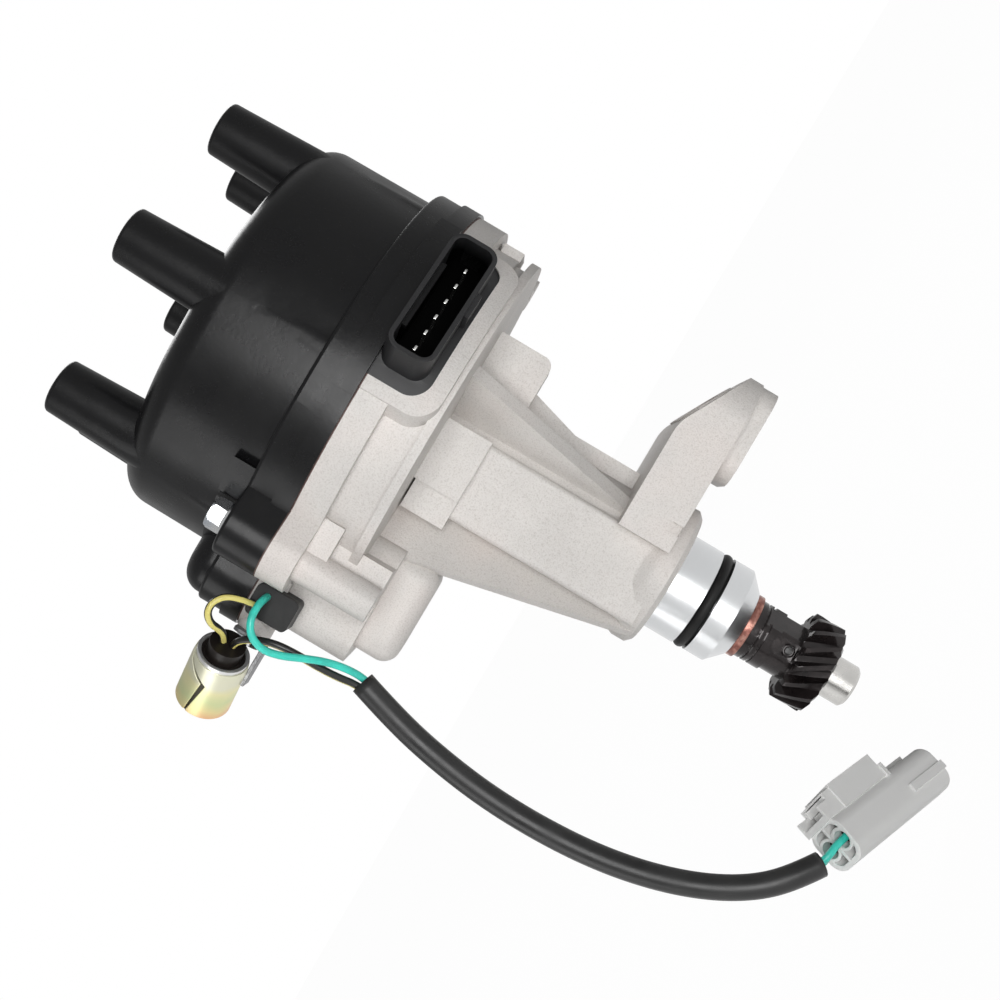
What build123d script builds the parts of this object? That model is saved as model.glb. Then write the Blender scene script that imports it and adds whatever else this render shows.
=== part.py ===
from build123d import *
import os
from math import atan2, cos, degrees, hypot, pi, radians, sin, tan

# Ignition distributor, in millimetres.
# Origin: on the shaft axis, in the plane where the mounting ear seats on the engine.
# +Z runs along the shaft towards the cap, +X points to the mounting ear, -Y is the socket's side.

# Clearances
running_gap = 0.05
ball_gap = 0.1
contact_gap = 0.1
spark_gap = 0.8

# Shaft and what it carries
shaft_radius = 6.35
shaft_tip_z = -61.2
shaft_tip_bevel = 0.9
journal_radius = 5.0
journal_low_z = 60.5
rotor_seat_radius = 4.5
rotor_seat_z = 93.0
shaft_top_z = 113.0
rotor_flat_depth = 1.0

# Spigot that enters the engine
spigot_radius = 14.75
spigot_length = 20.5
spigot_end_z = -24.9
spigot_end_radius = 10.2
o_ring_section = 3.5
o_ring_z = -12.3
o_ring_proud = 0.22
bush_radius = 9.0
bush_length = 18.0
bush_inset = 2.0
shaft_tunnel_radius = 7.2

# Drive gear, hub and thrust washer
washer_thickness = 2.2
washer_radius = 9.7
hub_radius = 8.9
hub_waist_radius = 8.3
hub_waist_z = -35.2
hub_groove_depth = 0.55
hub_groove_width = 0.9
hub_groove_pitch = 2.0
hub_slot_width = 5.4
hub_slot_depth = 1.5
hub_slot_high_z = -34.0
hub_flat_distance = 7.5
hub_flat_angle = -35.0
hub_flat_high_z = -30.2
gear_high_z = -41.4
gear_low_z = -52.4
gear_radius = 13.5
gear_root_radius = 10.3
gear_teeth = 14
gear_twist = 30.0
gear_bevel = 1.0
roll_pin_radius = 1.8
roll_pin_bore = 1.0
roll_pin_z = -39.4

# Neck of the housing
collar_radius = 21.5
collar_height = 5.5
collar_cone_z = 16.0
neck_radius = 17.0
column_x = (-16.5, 7.0)
column_front = 19.0
pad_x = (-20.0, 7.3)
pad_split_x = -11.5
pad_front = 24.0
pad_low_z = 61.8
pad_step_z = 75.0
web_thickness = 3.2
front_web_angle = -50.0
front_web_thickness = 4.4
left_web_angle = -150.0
back_web_angles = (58.0, 150.0)
web_top_radius = 35.0
web_low_radius = 18.5
web_low_z = 19.0
left_web_top_radius = 41.0
spine_thickness = 8.0
spine_y = 6.0
spine_x = 22.0
spine_knee_z = 43.0
spine_top_x = 26.5
stub_x = (18.0, 36.0)
stub_half_width = 11.0
stub_low_z = 58.6

# Mounting ear
ear_length = 60.0
ear_half_width = 26.0
ear_top_z = 21.3
ear_bend_x = 38.0
ear_end_top_z = 9.5
ear_corner = 14.0
ear_pad_x = 30.5
ear_pad_half_width = 15.5
ear_pad_corner = 7.0
ear_pocket_x = (24.0, 30.0)
ear_pocket_top_z = 15.0
ear_wall = 4.0
slot_circle_radius = 48.0
slot_width = 8.6
slot_half_angle = 10.0
slot_boss_border = 3.6
slot_boss_height = 0.6
notch_x = (11.0, 14.0)
notch_z = (5.6, 9.0)
notch_depth = 1.5

# Bowl, flange and coil chamber
seam_z = 97.2
flange_low_z = 88.6
flange_width = 6.5
cavity_step = 3.5
lobe_x = -63.5
lobe_half_width = 24.0
lobe_corner = 5.0
lobe_inner_x = -30.0
bowl_radius = 56.0
bowl_wall = 5.0
bowl_floor_z = 80.0
bowl_floor_thickness = 3.2
lip_proud = 1.6
lip_low_z = 75.6
lip_height = 2.6
lip_groove_depth = 1.6
lip_groove_top_z = 81.4
step_block_depth = 1.9
step_block_half_width = 9.0
step_block_z = (81.4, 87.7)
nub_x = (-41.6, -31.9)
nub_front_y = -48.3
nub_low_z = 82.6
chamber_x = -65.0
chamber_half_width = 25.5
chamber_low_z = 66.6
chamber_wall = 3.0
chamber_corner = 6.0
partition_x = (-41.0, -38.0)
sump_x = (-60.5, -30.0)
sump_half_width = 20.0
sump_low_z = 54.6

# Cap screws and their lugs: (x, y) of each screw
screw_places = ((-45.5, -45.0), (-45.5, 45.0), (53.4, 33.4))
lug_radius = 9.0
lug_boss_radius = 5.0
lug_boss_low_z = 66.6
screw_thread_radius = 2.5
screw_washer_radius = 5.0
screw_washer_height = 1.2
screw_head_flats = 8.0
screw_head_height = 4.2
screw_grip = 14.0

# Distributor cap
cap_radius = 57.5
cap_draft = 0.6
cap_top_z = 146.0
cap_wall = 3.0
cap_edge_radius = 8.0
cap_flange_top_z = 110.0
cap_lower_step_z = 102.5
cap_lower_step_width = 0.9
cap_lobe_top_z = 116.8
cap_lobe_edge = 6.0
cap_lip_proud = 2.6
cap_lip_top_z = 103.6
tower_circle_radius = 48.0
tower_first_angle = 36.0
tower_count = 6
tower_tip_z = 170.2
tower_tip_radius = 7.8
tower_low_z = 108.0
tower_low_radius = 9.95
tower_tip_rounding = 1.2
tower_socket_radius = 4.6
tower_socket_depth = 15.0
tower_boss_radius = 6.0
tower_boss_low_z = 120.0
centre_boss_radius = 7.0
centre_boss_low_z = 124.0
gasket_gap = 1.2
gasket_width = 2.0
gasket_height = 1.4

# Electrodes, contact bar, brush and rotor
electrode_tip_radius = 40.2
electrode_height = 9.0
electrode_width = 8.0
electrode_rod_radius = 2.2
electrode_cup_height = 4.0
electrode_cup_radius = 3.9
electrode_cup_wall = 0.8
bar_thickness = 1.2
bar_width = 6.0
bar_leg_x = -49.8
brush_radius = 2.9
brush_length = 9.0
spring_wire = 0.35
spring_radius = 2.3
spring_turns = 7
rotor_low_z = 99.0
rotor_hub_radius = 10.0
rotor_skirt_radius = 31.0
rotor_skirt_z = 105.0
rotor_skirt_thickness = 2.6
rotor_arm_width = 13.0
rotor_arm_top_z = 118.5
rotor_tail = 17.0
blade_width = 6.0
blade_thickness = 1.5
blade_tip_drop = 6.0
rotor_angle = 36.0
rotor_screw_radius = 1.5

# Ball bearing, its retainer, the seal
bearing_low_z = 72.0
bearing_height = 8.0
bearing_radius = 13.0
race_outer_inside = 10.6
race_inner_outside = 7.4
ball_radius = 2.0
ball_count = 8
cage_half_width = 0.8
cage_below = 1.4
cage_above = 2.9
retainer_radius = 19.0
retainer_thickness = 1.5
retainer_screw_circle = 16.2
retainer_screw_count = 3
retainer_screw_angle = 20.0
retainer_screw_radius = 1.2
retainer_screw_head = 2.4
retainer_screw_head_height = 1.8
seal_low_z = 50.0
seal_height = 7.0
seal_radius = 11.0
seal_lip = 1.2

# Crank-angle sensor and power module
plate_gap = 5.0
plate_thickness = 2.0
disc_z = 88.75
disc_thickness = 0.5
disc_radius = 36.0
disc_windows = 6
disc_slits = 24
spacer_radius = 8.0
clamp_radius = 10.0
clamp_height = 3.0
pickup_y = (23.0, 45.0)
pickup_half_width = 10.0
pickup_height = 12.5
pickup_throat = 3.2
cover_z = 95.7
cover_ledge = 1.3
cover_hole_radius = 11.5
module_x = (18.0, 40.0)
module_half_width = 9.0
module_height = 4.6

# Ignition coil
coil_core_x = (-50.0, -44.0)
coil_core_half_width = 16.4
coil_core_z = (58.6, 92.0)
coil_limb = 6.0
coil_body_x = (-57.2, -42.0)
coil_head_x = -61.0
coil_head_z = (71.0, 95.0)
coil_tower_x = -55.0
coil_tower_radius = 4.8
coil_tower_top_z = 110.3
coil_button_radius = 2.4
coil_button_top_z = 112.4

# Six-pin socket, made facing -Y and then turned about the shaft
socket_angle = 28.0
socket_half_span = 24.0
socket_low_z = 81.5
socket_corner = 6.0
socket_inset = 1.6
socket_reach = 12.0
socket_width = 40.0
socket_height = 13.4
socket_z = 90.45
socket_wall = 1.25
socket_depth = 11.0
socket_rounding = 4.0
ramp_x = (-1.0, 7.0)
ramp_height = 1.3
ramp_reach = 6.5
ramp_inset = 1.6
key_half_width = 11.0
key_height = 1.3
key_inset = 3.5
pin_pitch = 5.5
pin_count = 6
pin_z = 89.9
pin_size = (1.6, 0.7)
pin_shelter = 5.7
pin_tail_reach = 3.1
notch_border = 4.5
notch_side_border = 3.5
apron_proud = 0.6

# Grommet
grommet_x = (-64.5, -55.5)
grommet_y = (-39.0, -24.5)
grommet_z = (83.2, 95.6)
grommet_rounding = 1.5

# Condenser with its clamp sleeve, bracket and screw
can_rear = (-93.4, -22.0, 94.4)
can_front = (-77.2, -34.2, 94.7)
can_radius = 7.2
can_rounding = 1.6
can_lip = 1.0
sleeve_wall = 0.6
sleeve_lip = 1.4
sleeve_slit = 0.5
sleeve_slit_angle = 54.0
sleeve_slit_slant = 21.0
end_boss_radius = 5.0
end_boss_height = 5.0
end_recess = 1.4
bracket_y = (-31.0, -21.0)
bracket_thickness = 1.2
bracket_x = -71.3
bracket_top_z = 96.9
bracket_screw_z = 91.8
bracket_screw_y = -22.5
bracket_boss_radius = 5.0
bracket_screw_radius = 2.0
bracket_screw_head = 3.6
bracket_screw_head_height = 2.6

# Grey two-wire plug
plug_rear = (-37.1, -50.0, -67.4)
plug_front = (-9.3, -20.0, -86.7)
plug_width = 12.6
plug_height = 13.2
plug_rounding = 4.2
plug_wall = 1.5
plug_rear_depth = 9.0
plug_cell_radius = 2.6
plug_cell_offset = 2.9
plug_seal_depth = 3.4
plug_web = 0.9
latch_box_height = 6.4
latch_box_width = 11.5
latch_box_start = -1.0
latch_box_length = 27.0
latch_box_wall = 1.3
latch_step = 7.5
latch_bar_height = 2.2
latch_flange = 1.2
rail_width = 2.4
rail_height = 1.5
plug_contact_size = (1.8, 2.4)
plug_contact_wall = 0.35
plug_contact_back = 1.0

# Wires and harness sleeve
wire_diameter = 2.1
harness_diameter = 6.8

# Routes of the cords, chosen by hand, from their exit to their far end
signal_route = (
    (-58.2, -39.0, 91.9), (-58.4, -43.2, 91.9), (-60.4, -47.0, 92.2), (-64.2, -48.9, 91.9),
    (-67.9, -48.6, 89.7), (-69.7, -47.4, 85.6), (-68.9, -45.6, 80.6), (-66.6, -43.7, 75.2),
    (-64.7, -41.0, 69.8), (-63.8, -38.2, 64.2), (-63.9, -36.6, 58.9),
)
feed_route = (
    (-61.6, -39.0, 93.6), (-61.6, -41.8, 94.6), (-61.7, -44.0, 97.3), (-63.0, -45.1, 100.9),
    (-65.9, -45.9, 102.9), (-68.9, -45.6, 102.7), (-71.0, -44.1, 100.7), (-71.5, -41.6, 98.3),
    (-72.4, -39.0, 96.8), (-74.2, -36.6, 96.2),
)
ground_route = (
    (-74.1, -36.6, 93.3), (-72.4, -38.2, 92.8), (-70.6, -39.7, 91.0), (-68.9, -41.0, 88.0),
    (-67.3, -41.8, 83.4), (-66.9, -41.3, 77.6), (-67.1, -40.1, 71.4), (-67.0, -38.4, 65.2),
    (-66.3, -36.7, 59.6),
)
harness_route = (
    (-65.1, -36.5, 58.8), (-68.9, -37.4, 46.4), (-71.8, -38.8, 31.8), (-73.5, -40.8, 15.8),
    (-73.4, -43.4, -0.6), (-71.7, -46.4, -16.8), (-68.1, -49.6, -31.6), (-62.9, -52.6, -44.2),
    (-56.6, -54.6, -54.0), (-49.5, -55.2, -60.9), (-43.0, -53.6, -65.6),
)
front_lead_route = (
    (-42.2, -54.6, -65.4), (-39.6, -54.5, -66.1), (-36.6, -53.4, -66.6), (-33.1, -50.0, -68.7),
)
back_lead_route = ((-43.2, -52.4, -66.2), (-41.0, -50.4, -66.9), (-37.4, -46.0, -68.7))


# Reach of the blocks that only cut or keep a side, past every piece
reach = 200.0

# Helpers for plain forms
LOW = (Align.CENTER, Align.CENTER, Align.MIN)


def rod(radius, low, high, x=0.0, y=0.0):
    return Pos(x, y, low) * Cylinder(radius, high - low, align=LOW)


def tube(outside, inside, low, high, x=0.0, y=0.0):
    return rod(outside, low, high, x, y) - rod(inside, low - 1, high + 1, x, y)


def block(x, y, z):
    place = Pos((x[0] + x[1]) / 2, (y[0] + y[1]) / 2, (z[0] + z[1]) / 2)
    return place * Box(x[1] - x[0], y[1] - y[0], z[1] - z[0])


def prism(sketch, low, high):
    return extrude(Pos(0, 0, low) * sketch, amount=high - low)


def turned(*points):
    """Solid of revolution about the shaft, from (radius, height) points."""
    return revolve(Plane.XZ * make_face(Polyline(*points, close=True)), Axis.Z)


def side_plate(points, thickness, y=0.0):
    """Plate of the given (x, z) outline, centred on y."""
    outline = Plane.XZ * make_face(Polyline(*points, close=True))
    return Pos(0, y, 0) * extrude(outline, amount=thickness / 2, both=True)


def around(count, radius, first=0.0):
    """Places evenly spaced on a circle about the shaft, turned to face outwards."""
    return [Rot(0, 0, first + 360 / count * k) * Pos(radius, 0, 0) for k in range(count)]


def rounded_box(x, y, z, corner):
    """Box with its upright corners rounded."""
    outline = RectangleRounded(x[1] - x[0], y[1] - y[0], corner)
    return prism(Pos((x[0] + x[1]) / 2, (y[0] + y[1]) / 2) * outline, z[0], z[1])


# Outlines shared by cap, housing and gasket
def cavity_outline(grow):
    """Plan of the inside of cap and housing, grown outwards: a circle with the coil's lobe."""
    low_x = lobe_x - grow
    half = lobe_half_width + grow
    lobe = RectangleRounded(lobe_inner_x - low_x, 2 * half, lobe_corner + max(grow, -3))
    return Circle(cavity_radius() + grow) + Pos((lobe_inner_x + low_x) / 2, 0) * lobe


def lug_outline(grow=0.0):
    """Plan of the screw lugs, each drawn out to the rim by its tangents."""
    rim = rim_radius()
    lugs = Sketch()
    for x, y in screw_places:
        angle = degrees(atan2(y, x))
        distance = hypot(x, y)
        root = Pos(distance - 22, 0) * Circle(lug_radius + 8)
        lug = make_hull((root + Pos(distance, 0) * Circle(lug_radius)).edges())
        lugs += Rot(0, 0, angle) * lug
    return lugs & Circle(rim + 12)


def flange_outline():
    return cavity_outline(flange_width) + lug_outline()


def sector(first, last, radius):
    """Pie-shaped plan between two angles."""
    middle = (first + last) / 2
    corners = [(0, 0)]
    for angle in (first, middle, last):
        corners.append((radius * cos(radians(angle)), radius * sin(radians(angle))))
    return make_face(Polyline(*corners, close=True))


def bowl_inside_radius():
    return bowl_radius - bowl_wall


def cover_radius():
    return bowl_inside_radius() + cover_ledge


def cavity_radius():
    """Inside of the cap at the seam, a step wider than the bowl."""
    return bowl_inside_radius() + cavity_step


def rim_radius():
    """Outside of the round flange."""
    return cavity_radius() + flange_width


def socket_back():
    return bowl_inside_radius() + socket_inset


def socket_face():
    return bowl_radius + socket_reach


# Housing
def barrel():
    """Spigot, collar and neck, turned in one."""
    return turned(
        (0, spigot_end_z), (spigot_end_radius, spigot_end_z), (spigot_radius, -spigot_length),
        (spigot_radius, 0), (collar_radius - 1.5, 0), (collar_radius, 1.5),
        (collar_radius, collar_height), (neck_radius, collar_cone_z),
        (neck_radius, bowl_floor_z), (0, bowl_floor_z),
    )


def web(angle, top_radius, low_radius, low_z, thickness=web_thickness):
    """Triangular casting web from the neck to the bowl."""
    high_z = bowl_floor_z - 1
    points = ((0, low_z), (low_radius, low_z), (top_radius, high_z), (0, high_z))
    return Rot(0, 0, angle) * side_plate(points, thickness)


def neck_details():
    """Flat-faced column, bolt pad, webs, spine and stub on the neck."""
    floor_z = bowl_floor_z - bowl_floor_thickness
    column = rounded_box(column_x, (-column_front, 0), (collar_height - 2, pad_low_z + 1), 1.5)
    pads = block((pad_x[0], pad_split_x + 1), (-pad_front + 2, 0), (pad_low_z, pad_step_z))
    pads += block((pad_split_x, pad_x[1]), (-pad_front, 0), (pad_low_z, floor_z + 1))
    webs = web(front_web_angle, web_top_radius, web_low_radius, web_low_z,
               front_web_thickness)
    webs += web(left_web_angle, left_web_top_radius, collar_radius, 2.0)
    for angle in back_web_angles:
        webs += web(angle, web_top_radius, web_low_radius, web_low_z)
    spine = side_plate(
        ((0, collar_height), (spine_x, collar_height), (spine_x, spine_knee_z),
         (spine_top_x, stub_low_z), (spine_top_x, floor_z + 1), (0, floor_z + 1)),
        spine_thickness, spine_y)
    stub = block(stub_x, (-stub_half_width, stub_half_width), (stub_low_z, floor_z + 1))
    stub = fillet(stub.edges().filter_by(Axis.Y).sort_by(Axis.Z)[:2].sort_by(Axis.X)[-1:], 3.0)
    return column + pads + webs + spine + stub


def ear():
    """Mounting ear with its pads, pocket and timing slot."""
    profile = make_face(Polyline(
        (6, collar_height), (ear_length, collar_height), (ear_length, ear_end_top_z),
        (ear_bend_x, ear_top_z), (6, ear_top_z), close=True))
    body = extrude(Plane.XZ * profile, amount=ear_half_width, both=True)
    body = fillet(body.edges().filter_by(Axis.Y).group_by(Axis.Z)[-1].sort_by(Axis.X)[-1:], 12.0)
    tips = body.edges().filter_by(Axis.Z).group_by(Axis.X)[-1]
    body = fillet(tips, ear_corner)
    pad = rounded_box((ear_pad_x, ear_length), (-ear_pad_half_width, ear_pad_half_width),
                      (0, collar_height + 1), ear_pad_corner)
    pocket_side = ear_half_width - ear_wall
    pocket = block(ear_pocket_x, (-pocket_side, pocket_side), (-1, ear_pocket_top_z))
    arc = CenterArc((0, 0), slot_circle_radius, -slot_half_angle, 2 * slot_half_angle)
    slot = prism(SlotArc(arc, slot_width), -1, ear_top_z + 5)
    boss = prism(SlotArc(arc, slot_width + 2 * slot_boss_border), collar_height, ear_top_z + 5)
    body += Pos(0, 0, slot_boss_height) * body & boss
    notch = block(notch_x, (-ear_half_width - 1, -ear_half_width + notch_depth), notch_z)
    return body + pad - pocket - slot - notch


def bowl_outside():
    """Flange, bowl, coil chamber and sump, before they are hollowed."""
    floor_z = bowl_floor_z - bowl_floor_thickness
    solid = prism(flange_outline(), flange_low_z, seam_z)
    solid += rod(bowl_radius, floor_z, flange_low_z + 1)
    lip_radius = bowl_radius + lip_proud
    solid += rod(lip_radius, lip_low_z, lip_low_z + lip_height)
    groove = tube(lip_radius + 1, bowl_radius - lip_groove_depth, lip_low_z + lip_height,
                  lip_groove_top_z)
    solid -= groove & prism(sector(-28, 24, reach), 0, seam_z)
    solid += block((0, bowl_radius + step_block_depth),
                   (-step_block_half_width, step_block_half_width), step_block_z)
    solid += block(nub_x, (nub_front_y, 0), (nub_low_z, flange_low_z + 1))
    solid += rounded_box((chamber_x, lobe_inner_x), (-chamber_half_width, chamber_half_width),
                         (chamber_low_z, flange_low_z + 1), chamber_corner)
    sump = rounded_box(sump_x, (-sump_half_width, sump_half_width),
                       (sump_low_z, chamber_low_z + 1), chamber_corner)
    sump = fillet(sump.edges().group_by(Axis.Z)[0], chamber_corner - 1)
    solid += sump
    for x, y in screw_places[:2]:
        side = 1 if y > 0 else -1
        wall_y = sorted((side * 20.0, y - side * lug_boss_radius / 2))
        solid += rod(lug_boss_radius, lug_boss_low_z, flange_low_z + 1, x, y)
        solid += block((x, x + 2 * lug_boss_radius), wall_y, (lug_boss_low_z, flange_low_z + 1))
    x, y = screw_places[2]
    solid += rod(lug_boss_radius, lip_low_z, flange_low_z + 1, x, y)
    return solid + socket_apron()


def socket_apron():
    """Rim that drops below the flange to frame the socket's notch."""
    half = socket_half_span + notch_side_border
    low = socket_low_z - notch_border
    apron_radius = rim_radius() + apron_proud
    plate = Pos(0, 0, (low + seam_z) / 2) * Box(2 * half, 2 * apron_radius + 1, seam_z - low)
    plate = fillet(plate.edges().filter_by(Axis.Y).group_by(Axis.Z)[0], socket_corner + 1)
    front = block((-reach, reach), (-reach, -socket_back() / 2), (-reach, reach))
    ring = tube(apron_radius, bowl_radius - bowl_wall / 2, low, seam_z)
    return Rot(0, 0, socket_angle) * (plate & front & ring)


def socket_profile(grow):
    """Front view of the insert that fills the notch: square at the seam, rounded below."""
    width = 2 * (socket_half_span + grow)
    height = seam_z - socket_low_z + grow
    rounded = Pos(0, seam_z - height / 2 + 5) * RectangleRounded(width, height + 10, socket_corner)
    return rounded & Pos(0, seam_z - height / 2) * Rectangle(width, height)


def housing_hollows():
    """Everything that is cut from the housing."""
    inner = rod(bowl_inside_radius(), bowl_floor_z, seam_z + 1)
    inner &= block((partition_x[1], reach), (-reach, reach), (0, reach))
    chamber = rounded_box((chamber_x + chamber_wall, partition_x[0]),
                          (-chamber_half_width + chamber_wall, chamber_half_width - chamber_wall),
                          (chamber_low_z + chamber_wall, seam_z + 1), 3.0)
    sump = rounded_box((sump_x[0] + chamber_wall, partition_x[0]),
                       (-sump_half_width + chamber_wall, sump_half_width - chamber_wall),
                       (sump_low_z + chamber_wall, seam_z + 1), 3.0)
    cut = inner + chamber + sump
    cut += rod(cover_radius() + contact_gap, cover_z, seam_z + 1)
    cut += rod(shaft_tunnel_radius, spigot_end_z - 1, bowl_floor_z + 1)
    cut += rod(bush_radius, spigot_end_z - 1, spigot_end_z + bush_inset + bush_length)
    cut += rod(seal_radius, seal_low_z, bowl_floor_z + 1)
    cut += rod(bearing_radius, bearing_low_z, bowl_floor_z + 1)
    for x, y in screw_places:
        cut += rod(screw_thread_radius, cap_flange_top_z - screw_grip - 9, seam_z + 1, x, y)
    notch = Plane.XZ.offset(40) * extrude(socket_profile(0), amount=40)
    cut += Rot(0, 0, socket_angle) * notch
    cut += grommet()
    for place in retainer_screw_places():
        cut += place * rod(retainer_screw_radius, bowl_floor_z - 2.5, bowl_floor_z + 1)
    o_ring_seat = o_ring_section / 2 + 0.2
    groove_floor = spigot_radius + o_ring_proud - o_ring_section
    cut += tube(spigot_radius + 2, groove_floor, o_ring_z - o_ring_seat, o_ring_z + o_ring_seat)
    return cut


def bracket_boss():
    """Boss on the coil chamber that carries the condenser's bracket."""
    length = chamber_x - (bracket_x + bracket_thickness)
    pad = Plane.YZ.offset(bracket_x + bracket_thickness) * Circle(bracket_boss_radius)
    pad = Pos(0, bracket_screw_y, bracket_screw_z) * extrude(pad, amount=length + 4)
    hole = Plane.YZ.offset(bracket_x - 1) * Circle(bracket_screw_radius)
    hole = Pos(0, bracket_screw_y, bracket_screw_z) * extrude(hole, amount=length + 4)
    return pad, hole


def housing():
    pad, hole = bracket_boss()
    body = barrel() + neck_details() + ear() + bowl_outside() + pad
    return body - housing_hollows() - hole


def o_ring():
    centre_radius = spigot_radius + o_ring_proud - o_ring_section / 2
    return Pos(0, 0, o_ring_z) * Torus(centre_radius, o_ring_section / 2)


def lower_bush():
    low = spigot_end_z + bush_inset
    bush = tube(bush_radius, shaft_radius + running_gap, low, low + bush_length)
    return bush


def oil_seal():
    case = tube(seal_radius, seal_radius - 1.2, seal_low_z, seal_low_z + seal_height)
    web_plate = tube(seal_radius - 1.2, shaft_radius + running_gap,
                     seal_low_z + seal_height - 1.5, seal_low_z + seal_height)
    lip = tube(shaft_radius + running_gap + seal_lip, shaft_radius + running_gap,
               seal_low_z + 1.5, seal_low_z + seal_height - 1.5)
    return case + web_plate + lip


# Ball bearing
def retainer_screw_places():
    return around(retainer_screw_count, retainer_screw_circle, retainer_screw_angle)


def bearing_middle_z():
    return bearing_low_z + bearing_height / 2


def ball_circle():
    return (race_outer_inside + race_inner_outside) / 2


def raceway():
    return Pos(0, 0, bearing_middle_z()) * Torus(ball_circle(), ball_radius + ball_gap)


def bearing_outer_race():
    high = bearing_low_z + bearing_height
    return tube(bearing_radius, race_outer_inside, bearing_low_z, high) - raceway()


def bearing_inner_race():
    high = bearing_low_z + bearing_height
    return tube(race_inner_outside, journal_radius, bearing_low_z, high) - raceway()


def balls(radius):
    group = Part()
    for place in around(ball_count, ball_circle()):
        group += place * Pos(0, 0, bearing_middle_z()) * Sphere(radius)
    return group


def ball_cage():
    """Crown cage: a ring joined above the balls, with a pocket for each."""
    ring = tube(ball_circle() + cage_half_width, ball_circle() - cage_half_width,
                bearing_middle_z() - cage_below, bearing_middle_z() + cage_above)
    return ring - balls(ball_radius + contact_gap)


def bearing_retainer():
    low = bearing_low_z + bearing_height
    plate = tube(retainer_radius, race_outer_inside + 0.6, low, low + retainer_thickness)
    for place in retainer_screw_places():
        plate -= place * rod(retainer_screw_radius, low - 1, low + retainer_thickness + 1)
    return plate


def retainer_screws():
    low = bearing_low_z + bearing_height
    plate_top = low + retainer_thickness
    head_top = plate_top + retainer_screw_head_height
    screws = Part()
    for place in retainer_screw_places():
        screw = rod(retainer_screw_radius, low - 2.5, plate_top)
        head = rod(retainer_screw_head, plate_top, head_top)
        slot = Pos(0, 0, head_top) * Box(0.7, 2 * retainer_screw_head + 1,
                                         retainer_screw_head_height * 2 / 3)
        screws += place * (screw + head - slot)
    return screws


# Crank-angle sensor
def sensor_plate():
    low = bowl_floor_z
    plate = tube(bowl_inside_radius() - plate_gap, retainer_radius + 1.0, low,
                 low + plate_thickness)
    plate &= block((partition_x[1] + 1, reach), (-reach, reach), (0, reach))
    return plate


def optical_pickup():
    low = bowl_floor_z + plate_thickness
    body = block((-pickup_half_width, pickup_half_width), pickup_y, (low, low + pickup_height))
    body = fillet(body.edges().filter_by(Axis.Z), 2.0)
    middle = disc_z + disc_thickness / 2
    throat = block((-20, 20), (0, disc_radius + 1.5),
                   (middle - pickup_throat / 2, middle + pickup_throat / 2))
    return body - throat


def slotted_disc():
    disc = tube(disc_radius, journal_radius, disc_z, disc_z + disc_thickness)
    for place in around(disc_windows, 27.0):
        disc -= place * block((-2, 2), (-1.5, 1.5), (disc_z - 1, disc_z + 2))
    for place in around(disc_slits, 33.0):
        disc -= place * block((-1.5, 1.5), (-0.6, 0.6), (disc_z - 1, disc_z + 2))
    return disc


def disc_spacer():
    return tube(spacer_radius, journal_radius, bearing_low_z + bearing_height, disc_z)


def disc_clamp():
    low = disc_z + disc_thickness
    ring = tube(clamp_radius, journal_radius, low, low + clamp_height)
    return fillet(ring.edges().group_by(Axis.Z)[-1], 0.5)


def dust_cover():
    cover = tube(cover_radius(), cover_hole_radius, cover_z, seam_z)
    cover &= block((partition_x[0] + 1, 100), (-100, 100), (0, 200))
    rib = tube(cover_hole_radius + 1.5, cover_hole_radius, seam_z, seam_z + 1.2)
    return cover + rib


def power_module():
    low = bowl_floor_z + plate_thickness
    case = block(module_x, (-module_half_width, module_half_width), (low, low + module_height))
    case = fillet(case.edges().filter_by(Axis.Z), 1.5)
    for y in (-5.0, 0.0, 5.0):
        case += block((module_x[1], module_x[1] + 4), (y - 0.6, y + 0.6), (low + 1, low + 1.8))
    return case


# Ignition coil
def coil_window():
    z = (coil_core_z[0] + coil_limb, coil_core_z[1] - coil_limb)
    y = coil_core_half_width - coil_limb
    return (-y, y), z


def coil_core():
    y, z = coil_window()
    frame = block(coil_core_x, (-coil_core_half_width, coil_core_half_width), coil_core_z)
    return frame - block((coil_core_x[0] - 1, coil_core_x[1] + 1), y, z)


def coil_body():
    y, z = coil_window()
    body = block(coil_body_x, y, z)
    body = fillet(body.edges().filter_by(Axis.X), 1.5)
    body += block((coil_head_x, coil_core_x[0]), y, coil_head_z)
    body += rod(coil_tower_radius, coil_core_z[1], coil_tower_top_z, coil_tower_x, 0)
    return body - rod(coil_button_radius, coil_tower_top_z - 2, coil_tower_top_z + 1,
                      coil_tower_x, 0)


def coil_button():
    button = rod(coil_button_radius, coil_tower_top_z - 2, coil_button_top_z, coil_tower_x, 0)
    return fillet(button.edges().group_by(Axis.Z)[-1], 0.6)


# Cap
def tower_places(radius=tower_circle_radius):
    return around(tower_count, radius, tower_first_angle)


def tower_socket_floor_z():
    return tower_tip_z - tower_socket_depth


def electrode_cup_low_z():
    """The cup is set into the floor of the tower's socket."""
    return tower_socket_floor_z() - electrode_cup_height


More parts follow.
